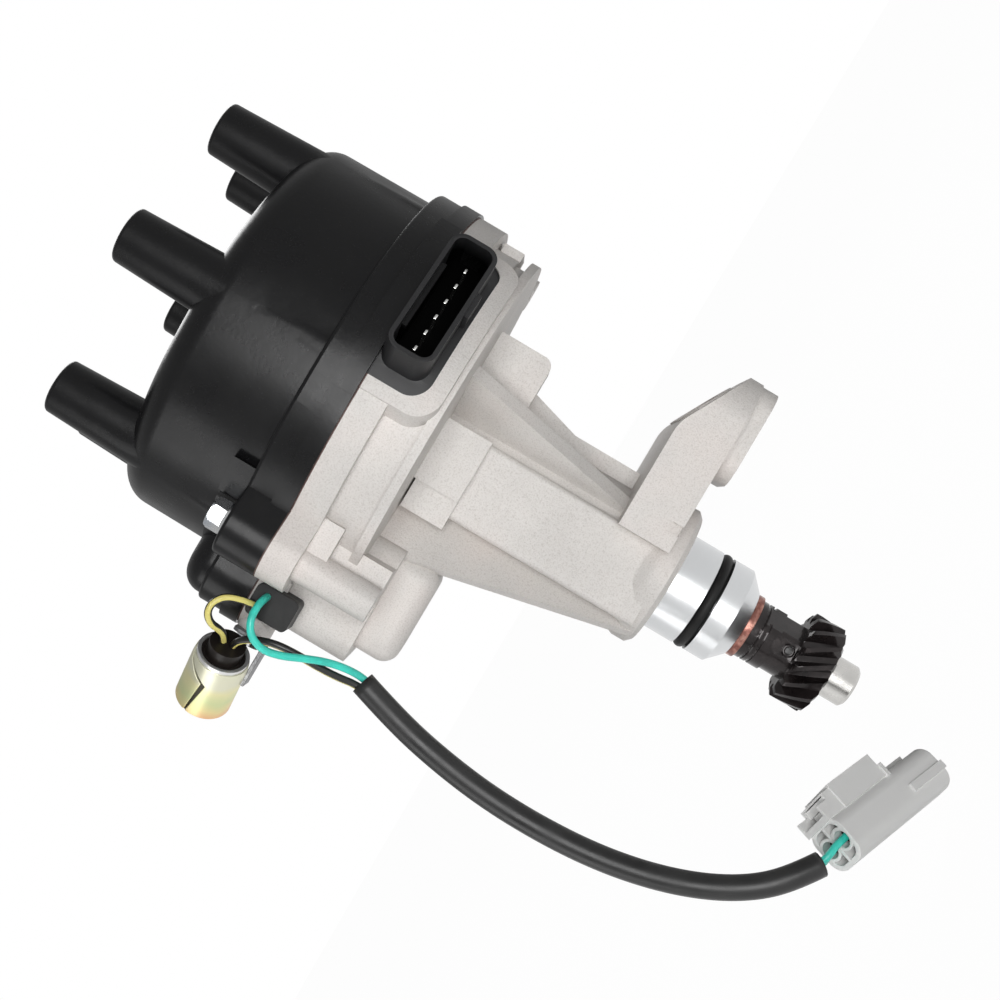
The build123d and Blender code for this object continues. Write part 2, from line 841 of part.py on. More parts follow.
def cap_outside():
    dome = turned((0, seam_z), (cap_radius, seam_z), (cap_radius - cap_draft, cap_top_z),
                  (0, cap_top_z))
    dome = fillet(dome.edges().group_by(Axis.Z)[-1], cap_edge_radius)
    height = tower_tip_z - tower_low_z
    tower = Pos(0, 0, tower_low_z) * Cone(tower_low_radius, tower_tip_radius, height, align=LOW)
    tower = fillet(tower.edges().group_by(Axis.Z)[-1], tower_tip_rounding)
    body = dome
    for place in tower_places():
        body += place * tower
    flange = prism(flange_outline(), seam_z, cap_flange_top_z)
    flange = fillet(flange.edges().group_by(Axis.Z)[-1], 1.0)
    step = prism(offset(cavity_outline(flange_width), cap_lower_step_width),
                 seam_z, cap_lower_step_z)
    lobe = prism(cavity_outline(flange_width - 1.2) & block_plan(-100, lobe_inner_x),
                 cap_flange_top_z - 1, cap_lobe_top_z)
    lobe = fillet(lobe.edges().group_by(Axis.Z)[-1].sort_by(Axis.X)[:3], cap_lobe_edge)
    lip = Circle(rim_radius() + cap_lip_proud) & sector(-91, -36, reach)
    lip = prism(lip, seam_z, cap_lip_top_z)
    return body + flange + step + lobe + lip


def block_plan(low_x, high_x):
    return Pos((low_x + high_x) / 2, 0) * Rectangle(high_x - low_x, 200)


def cap_hollow():
    roof_z = cap_top_z - cap_wall
    inside = turned((0, seam_z - 1), (cavity_radius(), seam_z - 1),
                    (cavity_radius() - cap_draft, roof_z), (0, roof_z))
    inside = fillet(inside.edges().group_by(Axis.Z)[-1], cap_edge_radius - cap_wall)
    lobe = prism(cavity_outline(0) & block_plan(-100, lobe_inner_x),
                 seam_z - 1, cap_lobe_top_z - cap_wall)
    keep = Part()
    for place in tower_places():
        keep += place * rod(tower_boss_radius, tower_boss_low_z, roof_z + 1)
    keep += rod(centre_boss_radius, centre_boss_low_z, roof_z + 1)
    return inside + lobe - keep


def cap_gasket():
    ring = offset(cavity_outline(0), gasket_gap + gasket_width)
    ring -= offset(cavity_outline(0), gasket_gap)
    return prism(ring, seam_z, seam_z + gasket_height)


def distributor_cap():
    cap = cap_outside() - cap_hollow() - cap_gasket()
    for place in tower_places():
        cap -= place * rod(tower_socket_radius, tower_socket_floor_z(), tower_tip_z + 1)
        cap -= place * rod(electrode_cup_radius, electrode_cup_low_z(), tower_tip_z)
        cap -= place * rod(electrode_rod_radius, tower_boss_low_z - 1, electrode_cup_low_z() + 1)
    cap -= rod(brush_radius + running_gap, centre_boss_low_z - 1, bar_low_z())
    cap -= contact_bar()
    for x, y in screw_places:
        cap -= rod(screw_thread_radius, seam_z - 1, cap_flange_top_z + 1, x, y)
        cap -= rod(screw_washer_radius + 0.6, cap_flange_top_z, cap_flange_top_z + 12, x, y)
    return cap


def cap_electrodes():
    """Six inserts: a segment the rotor passes, a rod through the boss, a cup in the tower."""
    floor_z = electrode_cup_low_z()
    low_z = tower_boss_low_z - electrode_height
    group = Part()
    for place in tower_places():
        inset = electrode_tip_radius - tower_circle_radius
        piece = block((inset, 3.0), (-electrode_width / 2, electrode_width / 2),
                      (low_z, tower_boss_low_z))
        piece = fillet(piece.edges().filter_by(Axis.Z).group_by(Axis.X)[0], 1.5)
        piece += rod(electrode_rod_radius, tower_boss_low_z - 1, floor_z)
        piece += rod(electrode_cup_radius, floor_z, floor_z + electrode_cup_height)
        piece -= rod(electrode_cup_radius - electrode_cup_wall, floor_z + electrode_cup_wall,
                     floor_z + electrode_cup_height + 1)
        group += place * piece
    return group


def bar_low_z():
    return cap_top_z - cap_wall - bar_thickness


def contact_bar():
    """Strip from the coil's button up the cap's inside and across its roof to the brush."""
    low = coil_button_top_z
    high = bar_low_z() + bar_thickness
    y = (-bar_width / 2, bar_width / 2)
    strip = block((coil_tower_x - 3, bar_leg_x), y, (low, low + bar_thickness))
    strip += block((bar_leg_x - bar_thickness, bar_leg_x), y, (low, high))
    strip += block((bar_leg_x - bar_thickness, bar_width / 2), y, (bar_low_z(), high))
    return strip


def blade_top_z():
    return rotor_arm_top_z + blade_thickness


def carbon_brush():
    low = blade_top_z() + contact_gap
    brush = rod(brush_radius, low, low + brush_length)
    return fillet(brush.edges().group_by(Axis.Z)[0], 0.8)


def brush_spring():
    """Coil spring between brush and contact bar."""
    low = blade_top_z() + contact_gap + brush_length
    height = bar_low_z() - low
    rise = height - spring_wire * 2
    path = Helix(pitch=rise / spring_turns, height=rise, radius=spring_radius)
    section = Plane(origin=path @ 0, z_dir=path % 0) * Circle(spring_wire)
    return Pos(0, 0, low + spring_wire) * sweep(section, path=path)


def hex_flange_screw():
    """Cap screw, made on the axis with its washer face at z = 0."""
    washer = Cone(screw_washer_radius, screw_washer_radius - 0.5, screw_washer_height, align=LOW)
    hexagon = RegularPolygon(screw_head_flats / 2, 6, major_radius=False)
    head = extrude(hexagon, amount=screw_washer_height + screw_head_height)
    crown = Cone(screw_head_flats / 2 + 3.2, screw_head_flats / 2 - 0.2,
                 screw_washer_height + screw_head_height + 0.5, align=LOW)
    shank = rod(screw_thread_radius, -screw_grip - 7, 0.5)
    return washer + (head & crown) + shank


def cap_screws():
    group = Part()
    for x, y in screw_places:
        group += Pos(x, y, cap_flange_top_z) * hex_flange_screw()
    return group


# Socket insert
def socket_body():
    back = socket_back()
    face = socket_face()
    insert = Plane.XZ.offset(back) * extrude(socket_profile(0), amount=10)
    insert &= rod(rim_radius(), 0, reach)
    outline = RectangleRounded(socket_width, socket_height, socket_rounding)
    shell = Plane.XZ.offset(back) * extrude(Pos(0, socket_z) * outline, amount=face - back)
    inner = RectangleRounded(socket_width - 2 * socket_wall, socket_height - 2 * socket_wall,
                             socket_rounding - socket_wall)
    cavity = Plane.XZ.offset(face - socket_depth) * extrude(
        Pos(0, socket_z) * inner, amount=socket_depth + 1)
    ceiling = socket_z + socket_height / 2 - socket_wall
    key = block((-key_half_width, key_half_width),
                (-face + key_inset, -face + socket_depth), (ceiling - key_height, ceiling))
    bottom = socket_z - socket_height / 2
    ramp = block(ramp_x, (-face + ramp_inset, -face + ramp_inset + ramp_reach),
                 (bottom - ramp_height, bottom + 0.5))
    body = insert + shell + ramp - cavity + key
    return body - socket_pin_blades()


def socket_pin_blades():
    blades = Part()
    length = (pin_shelter - socket_face(), pin_tail_reach - socket_back())
    for k in range(pin_count):
        x = (k - (pin_count - 1) / 2) * pin_pitch
        blades += block((x - pin_size[0] / 2, x + pin_size[0] / 2), length,
                        (pin_z - pin_size[1] / 2, pin_z + pin_size[1] / 2))
    return blades


def socket_pins():
    return Rot(0, 0, socket_angle) * socket_pin_blades()


def connector_socket():
    return Rot(0, 0, socket_angle) * socket_body()


# Rotating set
def shaft():
    body = turned(
        (0, shaft_tip_z), (shaft_radius - shaft_tip_bevel, shaft_tip_z),
        (shaft_radius, shaft_tip_z + shaft_tip_bevel), (shaft_radius, journal_low_z),
        (journal_radius, journal_low_z), (journal_radius, rotor_seat_z),
        (rotor_seat_radius, rotor_seat_z), (rotor_seat_radius, shaft_top_z), (0, shaft_top_z))
    flat = block((-10, 10), (rotor_seat_radius - rotor_flat_depth, 10),
                 (rotor_low_z, shaft_top_z + 1))
    cross_hole = Pos(0, 0, roll_pin_z) * Rot(90, 0, 0) * Cylinder(roll_pin_radius, 40)
    return body - Rot(0, 0, rotor_angle) * flat - cross_hole


def bearing_shoulder():
    """Spacer between the shaft's shoulder and the bearing's inner race."""
    return tube(race_inner_outside - 0.4, journal_radius, journal_low_z, bearing_low_z)


def thrust_washer():
    high = spigot_end_z - contact_gap
    return tube(washer_radius, shaft_radius, high - washer_thickness, high)


def gear_section():
    """One tooth gap after another on the gear's end face."""
    pitch = 360 / gear_teeth
    points = []
    for k in range(gear_teeth):
        for share, radius in ((-0.30, gear_root_radius), (-0.13, gear_radius),
                              (0.13, gear_radius), (0.30, gear_root_radius)):
            angle = radians((k + share) * pitch)
            points.append((radius * cos(angle), radius * sin(angle)))
    return make_face(Polyline(*points, close=True))


def drive_gear():
    """Helical gear with its grooved and milled hub."""
    height = gear_high_z - gear_low_z
    section = Pos(0, 0, gear_low_z) * gear_section()
    teeth = Solid.extrude_linear_with_rotation(
        section.faces()[0], (0, 0, gear_low_z), (0, 0, height), -gear_twist)
    envelope = turned(
        (0, gear_low_z), (gear_radius - 2 * gear_bevel, gear_low_z),
        (gear_radius, gear_low_z + gear_bevel), (gear_radius, gear_high_z - gear_bevel),
        (gear_radius - 2 * gear_bevel, gear_high_z), (0, gear_high_z))
    washer_low = spigot_end_z - contact_gap - washer_thickness
    hub = rod(hub_radius, hub_waist_z, washer_low) + rod(hub_waist_radius, gear_high_z - 1,
                                                         hub_waist_z)
    for k in range(2):
        middle = washer_low - 2.2 - k * hub_groove_pitch
        hub -= tube(hub_radius + 1, hub_radius - hub_groove_depth,
                    middle - hub_groove_width / 2, middle + hub_groove_width / 2)
    slot_length = hub_slot_high_z - gear_high_z
    slot = Plane.XZ.offset(hub_waist_radius - hub_slot_depth) * extrude(
        Pos(0, gear_high_z) * SlotOverall(2 * slot_length, hub_slot_width, rotation=90),
        amount=hub_radius)
    slot &= block((-reach, reach), (-reach, reach), (gear_high_z, hub_slot_high_z + 1))
    flat = block((hub_flat_distance, reach), (-hub_radius, hub_radius),
                 (gear_high_z, hub_flat_high_z))
    flat = Rot(0, 0, hub_flat_angle) * flat
    gear = (Part() + teeth & envelope) + hub - slot - flat
    bore = rod(shaft_radius, gear_low_z - 1, washer_low + 1)
    cross_hole = Pos(0, 0, roll_pin_z) * Rot(90, 0, 0) * Cylinder(roll_pin_radius, 40)
    return gear - bore - cross_hole


def roll_pin():
    length = 2 * (hub_waist_radius - hub_slot_depth / 2)
    pin = Cylinder(roll_pin_radius, length) - Cylinder(roll_pin_bore, length + 2)
    pin -= Pos(roll_pin_radius, 0, 0) * Box(2 * roll_pin_radius, 0.6, length + 2)
    return Pos(0, 0, roll_pin_z) * Rot(90, 0, 0) * pin


def rotor_arm():
    hub = rod(rotor_hub_radius, rotor_low_z, rotor_arm_top_z)
    skirt = rod(rotor_skirt_radius, rotor_skirt_z, rotor_skirt_z + rotor_skirt_thickness)
    arm_end = blade_tip_radius() - blade_thickness
    arm = block((-rotor_tail, arm_end), (-rotor_arm_width / 2, rotor_arm_width / 2),
                (rotor_skirt_z, rotor_arm_top_z))
    arm = fillet(arm.edges().filter_by(Axis.Z).group_by(Axis.X)[0], 5.0)
    ribs = block((-rotor_skirt_radius + 1, rotor_skirt_radius - 1), (-1, 1),
                 (rotor_skirt_z, rotor_skirt_z + 6))
    ribs = Rot(0, 0, 90) * ribs
    body = hub + skirt + arm + ribs
    seat = rod(rotor_seat_radius, rotor_low_z - 1, shaft_top_z)
    seat -= block((-10, 10), (rotor_seat_radius - rotor_flat_depth, 10),
                  (rotor_low_z - 2, shaft_top_z + 1))
    body -= seat
    body -= Pos(-11, 0, 0) * rod(rotor_screw_radius, rotor_arm_top_z - 6, rotor_arm_top_z + 1)
    return Rot(0, 0, rotor_angle) * body


def blade_tip_radius():
    return electrode_tip_radius - spark_gap


def rotor_contact():
    tip = blade_tip_radius()
    y = (-blade_width / 2, blade_width / 2)
    blade = block((-14.5, tip), y, (rotor_arm_top_z, blade_top_z()))
    drop_z = rotor_arm_top_z - blade_tip_drop
    blade += block((tip - blade_thickness, tip), y, (drop_z, rotor_arm_top_z + 0.1))
    blade -= Pos(-11, 0, 0) * rod(rotor_screw_radius, rotor_arm_top_z - 1, blade_top_z() + 1)
    return Rot(0, 0, rotor_angle) * blade


def rotor_screw():
    shank = rod(rotor_screw_radius, rotor_arm_top_z - 6, blade_top_z())
    head = rod(rotor_screw_radius * 1.9, blade_top_z(), blade_top_z() + 1.8)
    head = fillet(head.edges().group_by(Axis.Z)[-1], 0.6)
    cross = Pos(0, 0, blade_top_z() + 1.8) * (Box(0.7, 3.4, 1.6) + Box(3.4, 0.7, 1.6))
    return Rot(0, 0, rotor_angle) * Pos(-11, 0, 0) * (shank + head - cross)


# Grommet and condenser
def grommet():
    """Rubber block that stands out of the chamber's wall and lets the wires out."""
    body = block(grommet_x, grommet_y, grommet_z)
    return fillet(body.edges().filter_by(Axis.Y), grommet_rounding)


def condenser_plane():
    rear = Vector(*can_rear)
    axis = Vector(*can_front) - rear
    return Plane(origin=can_rear, x_dir=(0, 0, 1), z_dir=axis), axis.length


def condenser_can():
    plane, length = condenser_plane()
    can = rod(can_radius, 0, length)
    can = fillet(can.edges().group_by(Axis.Z)[0], can_rounding)
    can -= rod(can_radius - can_lip, length - end_recess, length + 1)
    return plane * can


def condenser_end():
    plane, length = condenser_plane()
    floor_z = length - end_recess
    plug = rod(can_radius - can_lip, floor_z, floor_z + 0.6)
    plug += rod(end_boss_radius, floor_z, floor_z + end_boss_height)
    return plane * plug


def condenser_bracket():
    """Rolled clamp sleeve with a V-shaped seam, a bent arm and a tab with a hole."""
    plane, length = condenser_plane()
    outside = can_radius + sleeve_wall
    sleeve = tube(outside, can_radius, can_rounding, length - sleeve_lip)
    seam = block((0, reach), (-sleeve_slit / 2, sleeve_slit / 2), (-0.2, length))
    for slant in (sleeve_slit_slant, 180 - sleeve_slit_slant):
        sleeve -= Pos(0, 0, length / 2) * Rot(slant, 0, 0) * seam
    sleeve = plane * Rot(0, 0, sleeve_slit_angle) * sleeve
    low = can_front[2] - outside - bracket_thickness + 0.2
    arm = block((can_front[0] - 6, bracket_x), bracket_y, (low, low + bracket_thickness))
    tab = block((bracket_x, bracket_x + bracket_thickness), bracket_y, (low, bracket_top_z))
    hole = Plane.YZ.offset(bracket_x - 1) * Circle(bracket_screw_radius)
    hole = Pos(0, bracket_screw_y, bracket_screw_z) * extrude(hole, amount=4)
    return sleeve + (arm + tab - hole) - plane * rod(can_radius, -5, length + 5)


def condenser_screw():
    shank = Circle(bracket_screw_radius)
    head = Circle(bracket_screw_head)
    back = Plane.YZ.offset(bracket_x)
    place = Pos(0, bracket_screw_y, bracket_screw_z)
    screw = extrude(back * shank, amount=6.0)
    screw += extrude(back * head, amount=-bracket_screw_head_height)
    front_x = bracket_x - bracket_screw_head_height
    cross = Pos(front_x, 0, 0) * (Box(2.0, 0.9, 4.4) + Box(2.0, 4.4, 0.9))
    return place * (screw - cross)


# Plug
def plug_plane():
    rear = Vector(*plug_rear)
    axis = (Vector(*plug_front) - rear)
    up = Vector(0, 0, 1)
    across = up.cross(axis)
    return Plane(origin=plug_rear, x_dir=across, z_dir=axis), axis.length


def plug_outline(shrink=0.0):
    return RectangleRounded(plug_width - 2 * shrink, plug_height - 2 * shrink,
                            plug_rounding - shrink)


def plug_housing():
    """Plug body with crossed webs at the wire end, a mouth, rails and a latch box."""
    plane, length = plug_plane()
    body = prism(plug_outline(), 0, length)
    body = fillet(body.edges().group_by(Axis.Z)[-1], 1.2)
    rear = prism(plug_outline(plug_wall), -1, plug_rear_depth)
    rear -= Box(plug_web, 40, 60)
    rear -= Box(40, plug_web, 60)
    for x in (-plug_cell_offset, plug_cell_offset):
        rear -= rod(plug_cell_radius + 0.7, -2, plug_rear_depth + 1, x, 0)
    body -= rear
    for x in (-plug_cell_offset, plug_cell_offset):
        body -= rod(plug_cell_radius - 0.2, -1, plug_rear_depth, x, 0)
        body -= contact_cell(x, 0, plug_rear_depth - 1, length - plug_contact_back)
        body -= contact_cell(x, -0.3, length - plug_contact_back - 1, length + 1)
    top = plug_height / 2
    box_y = top + latch_box_height
    box = latch_part(latch_box_width, top - 1, box_y, latch_box_start + latch_step,
                     latch_box_start + latch_box_length)
    frame = latch_part(latch_box_width - 1, top - 1, box_y - 0.8, latch_box_start,
                       latch_box_start + latch_step)
    inner = latch_part(latch_box_width - 2 * latch_box_wall, top + 0.8, box_y - latch_box_wall,
                       latch_box_start - 1, latch_box_start + latch_box_length - 2)
    gap = latch_part(30, top + 3.6, box_y + 1, latch_box_start - 1, latch_box_start + 4.2)
    lever = latch_part(5.0, top - 1, top + 2.4, latch_box_start + 4, latch_box_start + 22)
    bar = latch_part(latch_box_width - 2 * latch_box_wall, top + 2.6, top + 2.6 + latch_bar_height,
                     latch_box_start + latch_step - 2.6, latch_box_start + latch_step)
    end_z = latch_box_start + latch_box_length
    collar = latch_part(plug_width, top - 1.5, top + 2.6, end_z, end_z + latch_flange)
    rail = latch_part(rail_width, top - 1, top + rail_height, end_z, length - 1.5)
    rail = Pos(3.2, 0, 0) * rail
    side_rail = Pos(-plug_width / 2, -1.2, 0) * block(
        (-rail_height * 0.6, 1), (-rail_width / 2, rail_width / 2), (end_z + 3, length - 0.5))
    latch = box + frame - gap - inner + lever + bar + collar + rail
    return plane * (body + latch + side_rail)


def latch_part(width, low_y, high_y, low_z, high_z):
    return block((-width / 2, width / 2), (low_y, high_y), (low_z, high_z))


def contact_cell(x, grow, low, high):
    """Rectangular passage of the plug, for the contact or for the pin that enters it."""
    width = plug_contact_size[0] + 2 * grow
    height = plug_contact_size[1] + 2 * grow
    return block((x - width / 2, x + width / 2), (-height / 2, height / 2), (low, high))


def plug_contacts():
    """Two folded socket contacts that run from the wire seals to the plug's nose."""
    plane, length = plug_plane()
    high = length - plug_contact_back
    group = Part()
    for x in (-plug_cell_offset, plug_cell_offset):
        contact = contact_cell(x, 0, plug_rear_depth, high)
        group += contact - contact_cell(x, -plug_contact_wall, high - 12, high + 1)
    return plane * group


def plug_seals():
    """Ribbed rubber plugs that close the two cells round their wires."""
    plane, _ = plug_plane()
    group = Part()
    for x in (-plug_cell_offset, plug_cell_offset):
        group += rod(plug_cell_radius - 0.2, plug_seal_depth, plug_rear_depth, x, 0)
    return plane * group


# Cords
def corner_radii(points):
    """Largest arc that each corner of a route allows: 0.45 of the shorter run over tan(turn/2)."""
    radii = []
    for before, here, after in zip(points, points[1:], points[2:]):
        arriving = Vector(*here) - Vector(*before)
        leaving = Vector(*after) - Vector(*here)
        turn = radians(arriving.get_angle(leaving))
        radii.append(0.45 * min(arriving.length, leaving.length) / tan(turn / 2))
    return radii


def cord(name, points, diameter):
    radii = corner_radii(points)
    path = FilletPolyline(*points, radius=radii)
    section = Plane(origin=path @ 0, z_dir=path % 0) * Circle(diameter / 2)
    solid = sweep(section, path=path)
    ideal = path.length * pi * diameter ** 2 / 4
    print(name, "length", round(path.length, 1), "tightest radius", round(min(radii), 1),
          "volume share", round(solid.volume / ideal, 4))
    return solid


def plug_leads():
    """Two short leads from the sleeve's end into the cells of the plug."""
    front = cord("front_lead", front_lead_route, wire_diameter)
    back = cord("back_lead", back_lead_route, wire_diameter)
    return front + back


# All pieces by name
pieces = {
    "housing": housing,
    "o_ring": o_ring,
    "lower_bush": lower_bush,
    "oil_seal": oil_seal,
    "bearing_outer_race": bearing_outer_race,
    "bearing_inner_race": bearing_inner_race,
    "bearing_balls": lambda: balls(ball_radius),
    "ball_cage": ball_cage,
    "bearing_retainer": bearing_retainer,
    "retainer_screws": retainer_screws,
    "sensor_plate": sensor_plate,
    "optical_pickup": optical_pickup,
    "slotted_disc": slotted_disc,
    "disc_spacer": disc_spacer,
    "disc_clamp": disc_clamp,
    "dust_cover": dust_cover,
    "power_module": power_module,
    "coil_core": coil_core,
    "coil_body": coil_body,
    "coil_button": coil_button,
    "distributor_cap": distributor_cap,
    "cap_electrodes": cap_electrodes,
    "contact_bar": contact_bar,
    "carbon_brush": carbon_brush,
    "brush_spring": brush_spring,
    "cap_gasket": cap_gasket,
    "cap_screws": cap_screws,
    "connector_socket": connector_socket,
    "socket_pins": socket_pins,
    "shaft": shaft,
    "bearing_shoulder": bearing_shoulder,
    "thrust_washer": thrust_washer,
    "drive_gear": drive_gear,
    "roll_pin": roll_pin,
    "rotor_arm": rotor_arm,
    "rotor_contact": rotor_contact,
    "rotor_screw": rotor_screw,
    "grommet": grommet,
    "condenser_can": condenser_can,
    "condenser_end": condenser_end,
    "condenser_bracket": condenser_bracket,
    "condenser_screw": condenser_screw,
    "signal_wire": lambda: cord("signal_wire", signal_route, wire_diameter),
    "feed_wire": lambda: cord("feed_wire", feed_route, wire_diameter),
    "ground_wire": lambda: cord("ground_wire", ground_route, wire_diameter),
    "harness_sleeve": lambda: cord("harness_sleeve", harness_route, harness_diameter),
    "plug_leads": plug_leads,
    "plug_housing": plug_housing,
    "plug_contacts": plug_contacts,
    "plug_seals": plug_seals,
}

os.makedirs("parts", exist_ok=True)
for name, make in pieces.items():
    export_step(make(), f"parts/{name}.step")
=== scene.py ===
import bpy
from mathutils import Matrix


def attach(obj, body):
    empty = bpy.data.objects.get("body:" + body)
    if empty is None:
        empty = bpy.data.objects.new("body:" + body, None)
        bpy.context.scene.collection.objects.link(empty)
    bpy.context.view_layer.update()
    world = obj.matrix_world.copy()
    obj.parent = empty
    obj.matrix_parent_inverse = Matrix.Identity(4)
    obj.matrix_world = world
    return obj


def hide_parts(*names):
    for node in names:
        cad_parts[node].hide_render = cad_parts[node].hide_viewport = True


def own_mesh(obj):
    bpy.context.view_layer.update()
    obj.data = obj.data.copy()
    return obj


bl_info = {
    "name": "Ignition distributor",
    "version": (1, 0, 0),
    "blender": (4, 5, 0),
    "location": "View3D > Sidebar > Distributor",
    "description": "Finishes, cords, clamp and studio of an ignition distributor",
    "category": "Object",
}

import math

import bmesh
import bpy
from bpy.props import FloatProperty, FloatVectorProperty, PointerProperty
from mathutils import Matrix, Vector

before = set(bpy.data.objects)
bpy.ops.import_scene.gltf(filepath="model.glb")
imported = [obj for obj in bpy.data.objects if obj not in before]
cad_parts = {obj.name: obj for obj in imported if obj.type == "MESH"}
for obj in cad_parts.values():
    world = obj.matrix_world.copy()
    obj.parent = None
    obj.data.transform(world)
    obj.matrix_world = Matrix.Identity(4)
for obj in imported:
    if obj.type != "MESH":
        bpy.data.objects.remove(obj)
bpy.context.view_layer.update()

MM = 0.001

# Height of the joint between housing and cap
SEAM_HEIGHT = 97.2 * MM

# Depth of the painted shadow of the joint's gap: a dark reddish line at the top of the casting
SEAM_SHADOW = 0.35 * MM

# The turned spigot lies inside this radius and below this height
SPIGOT_RADIUS = 14.85 * MM
SPIGOT_TOP = -0.2 * MM

# Corners of a mesh nearer than this are joined
JOIN_DISTANCE = 0.002 * MM

# Grid of the clamp's sheet: steps round it and along it, and the step of the seam's point
CLAMP_ROUND = 72
CLAMP_ALONG = 18
CLAMP_POINT = 12

# Share of the clamp's length over which its front edge rolls in
ROLL_SHARE = 1 / 8

# Colour of the black wire sheaths
SHEATH_BLACK = (0.012, 0.012, 0.012)

# Each lamp's name, place in metres, size in metres and power in watts
LAMPS = (
    ("key_lamp", (-0.02, -0.95, -0.02), 0.55, 8.4),
    ("side_lamp", (-0.80, -0.25, 0.10), 0.50, 1.7),
    ("back_lamp", (0.15, 0.60, 0.70), 0.50, 2.6),
)

# Place that every lamp points at
LAMP_AIM = (0.0, 0.0, 0.05)

# Routes of the cords in metres, from their exit to their far end
SIGNAL_ROUTE = (
    (-0.0582, -0.0390, 0.0919), (-0.0584, -0.0432, 0.0919), (-0.0604, -0.0470, 0.0922),
    (-0.0642, -0.0489, 0.0919), (-0.0679, -0.0486, 0.0897), (-0.0697, -0.0474, 0.0856),
    (-0.0689, -0.0456, 0.0806), (-0.0666, -0.0437, 0.0752), (-0.0647, -0.0410, 0.0698),
    (-0.0638, -0.0382, 0.0642), (-0.0639, -0.0366, 0.0589), (-0.0650, -0.0366, 0.0545),
)
FEED_ROUTE = (
    (-0.0616, -0.0390, 0.0936), (-0.0616, -0.0418, 0.0946), (-0.0617, -0.0440, 0.0973),
    (-0.0630, -0.0451, 0.1009), (-0.0659, -0.0459, 0.1029), (-0.0689, -0.0456, 0.1027),
    (-0.0710, -0.0441, 0.1007), (-0.0715, -0.0416, 0.0983), (-0.0724, -0.0390, 0.0968),
    (-0.0742, -0.0366, 0.0962),
)
GROUND_ROUTE = (
    (-0.0741, -0.0366, 0.0933), (-0.0724, -0.0382, 0.0928), (-0.0706, -0.0397, 0.0910),
    (-0.0689, -0.0410, 0.0880), (-0.0673, -0.0418, 0.0834), (-0.0669, -0.0413, 0.0776),
    (-0.0671, -0.0401, 0.0714), (-0.0670, -0.0384, 0.0652), (-0.0663, -0.0367, 0.0596),
    (-0.0668, -0.0366, 0.0550),
)
SLEEVE_ROUTE = (
    (-0.0651, -0.0365, 0.0588), (-0.0689, -0.0374, 0.0464), (-0.0718, -0.0388, 0.0318),
    (-0.0735, -0.0408, 0.0158), (-0.0734, -0.0434, -0.0006), (-0.0717, -0.0464, -0.0168),
    (-0.0681, -0.0496, -0.0316), (-0.0629, -0.0526, -0.0442), (-0.0566, -0.0546, -0.0540),
    (-0.0495, -0.0552, -0.0609), (-0.0430, -0.0536, -0.0656),
)
FRONT_LEAD_ROUTE = (
    (-0.0470, -0.0556, -0.0622), (-0.0422, -0.0546, -0.0654), (-0.0396, -0.0545, -0.0661),
    (-0.0366, -0.0534, -0.0666), (-0.0331, -0.0500, -0.0687),
)
BACK_LEAD_ROUTE = (
    (-0.0475, -0.0538, -0.0632), (-0.0432, -0.0524, -0.0662), (-0.0410, -0.0504, -0.0669),
    (-0.0374, -0.0460, -0.0687),
)


class FinishSettings(bpy.types.PropertyGroup):
    """Colours of the distributor's main finishes."""

    cast_colour: FloatVectorProperty(
        name="Cast metal", description="Colour of the bare casting",
        default=(0.72, 0.695, 0.67), size=3, subtype="COLOR")
    cap_colour: FloatVectorProperty(
        name="Cap", description="Colour of the black cap moulding",
        default=(0.0065, 0.0065, 0.007), size=3, subtype="COLOR")
    gear_colour: FloatVectorProperty(
        name="Gear", description="Colour of the blackened, oiled gear",
        default=(0.020, 0.016, 0.016), size=3, subtype="COLOR")
    plug_colour: FloatVectorProperty(
        name="Plug", description="Colour of the grey plug",
        default=(0.80, 0.80, 0.79), size=3, subtype="COLOR")
    signal_colour: FloatVectorProperty(
        name="Signal wire", description="Colour of the turquoise insulation",
        default=(0.05, 0.74, 0.60), size=3, subtype="COLOR")
    striped_colour: FloatVectorProperty(
        name="Striped wires", description="Light colour of the striped insulation",
        default=(0.82, 0.72, 0.22), size=3, subtype="COLOR")


class HarnessSettings(bpy.types.PropertyGroup):
    """Sizes of the wires and the harness sleeve."""

    wire: FloatProperty(
        name="Wire", description="Diameter of each insulated wire",
        default=2.1 * MM, subtype="DISTANCE", unit="LENGTH")
    sleeve: FloatProperty(
        name="Sleeve", description="Outer diameter of the harness sleeve",
        default=6.8 * MM, subtype="DISTANCE", unit="LENGTH")
    sleeve_wall: FloatProperty(
        name="Sleeve wall", description="Wall thickness of the harness sleeve",
        default=0.7 * MM, subtype="DISTANCE", unit="LENGTH")


class EdgeSettings(bpy.types.PropertyGroup):
    """Rounding of the edges of each kind of piece."""

    cast: FloatProperty(
        name="Cast edges", description="Rounding of the casting's edges",
        default=0.5 * MM, subtype="DISTANCE", unit="LENGTH")
    moulded: FloatProperty(
        name="Moulded edges", description="Rounding of plastic and rubber edges",
        default=0.35 * MM, subtype="DISTANCE", unit="LENGTH")
    turned: FloatProperty(
        name="Turned edges", description="Rounding of turned and cut metal edges",
        default=0.2 * MM, subtype="DISTANCE", unit="LENGTH")
    stamped: FloatProperty(
        name="Stamped edges", description="Rounding of thin stamped metal",
        default=0.12 * MM, subtype="DISTANCE", unit="LENGTH")


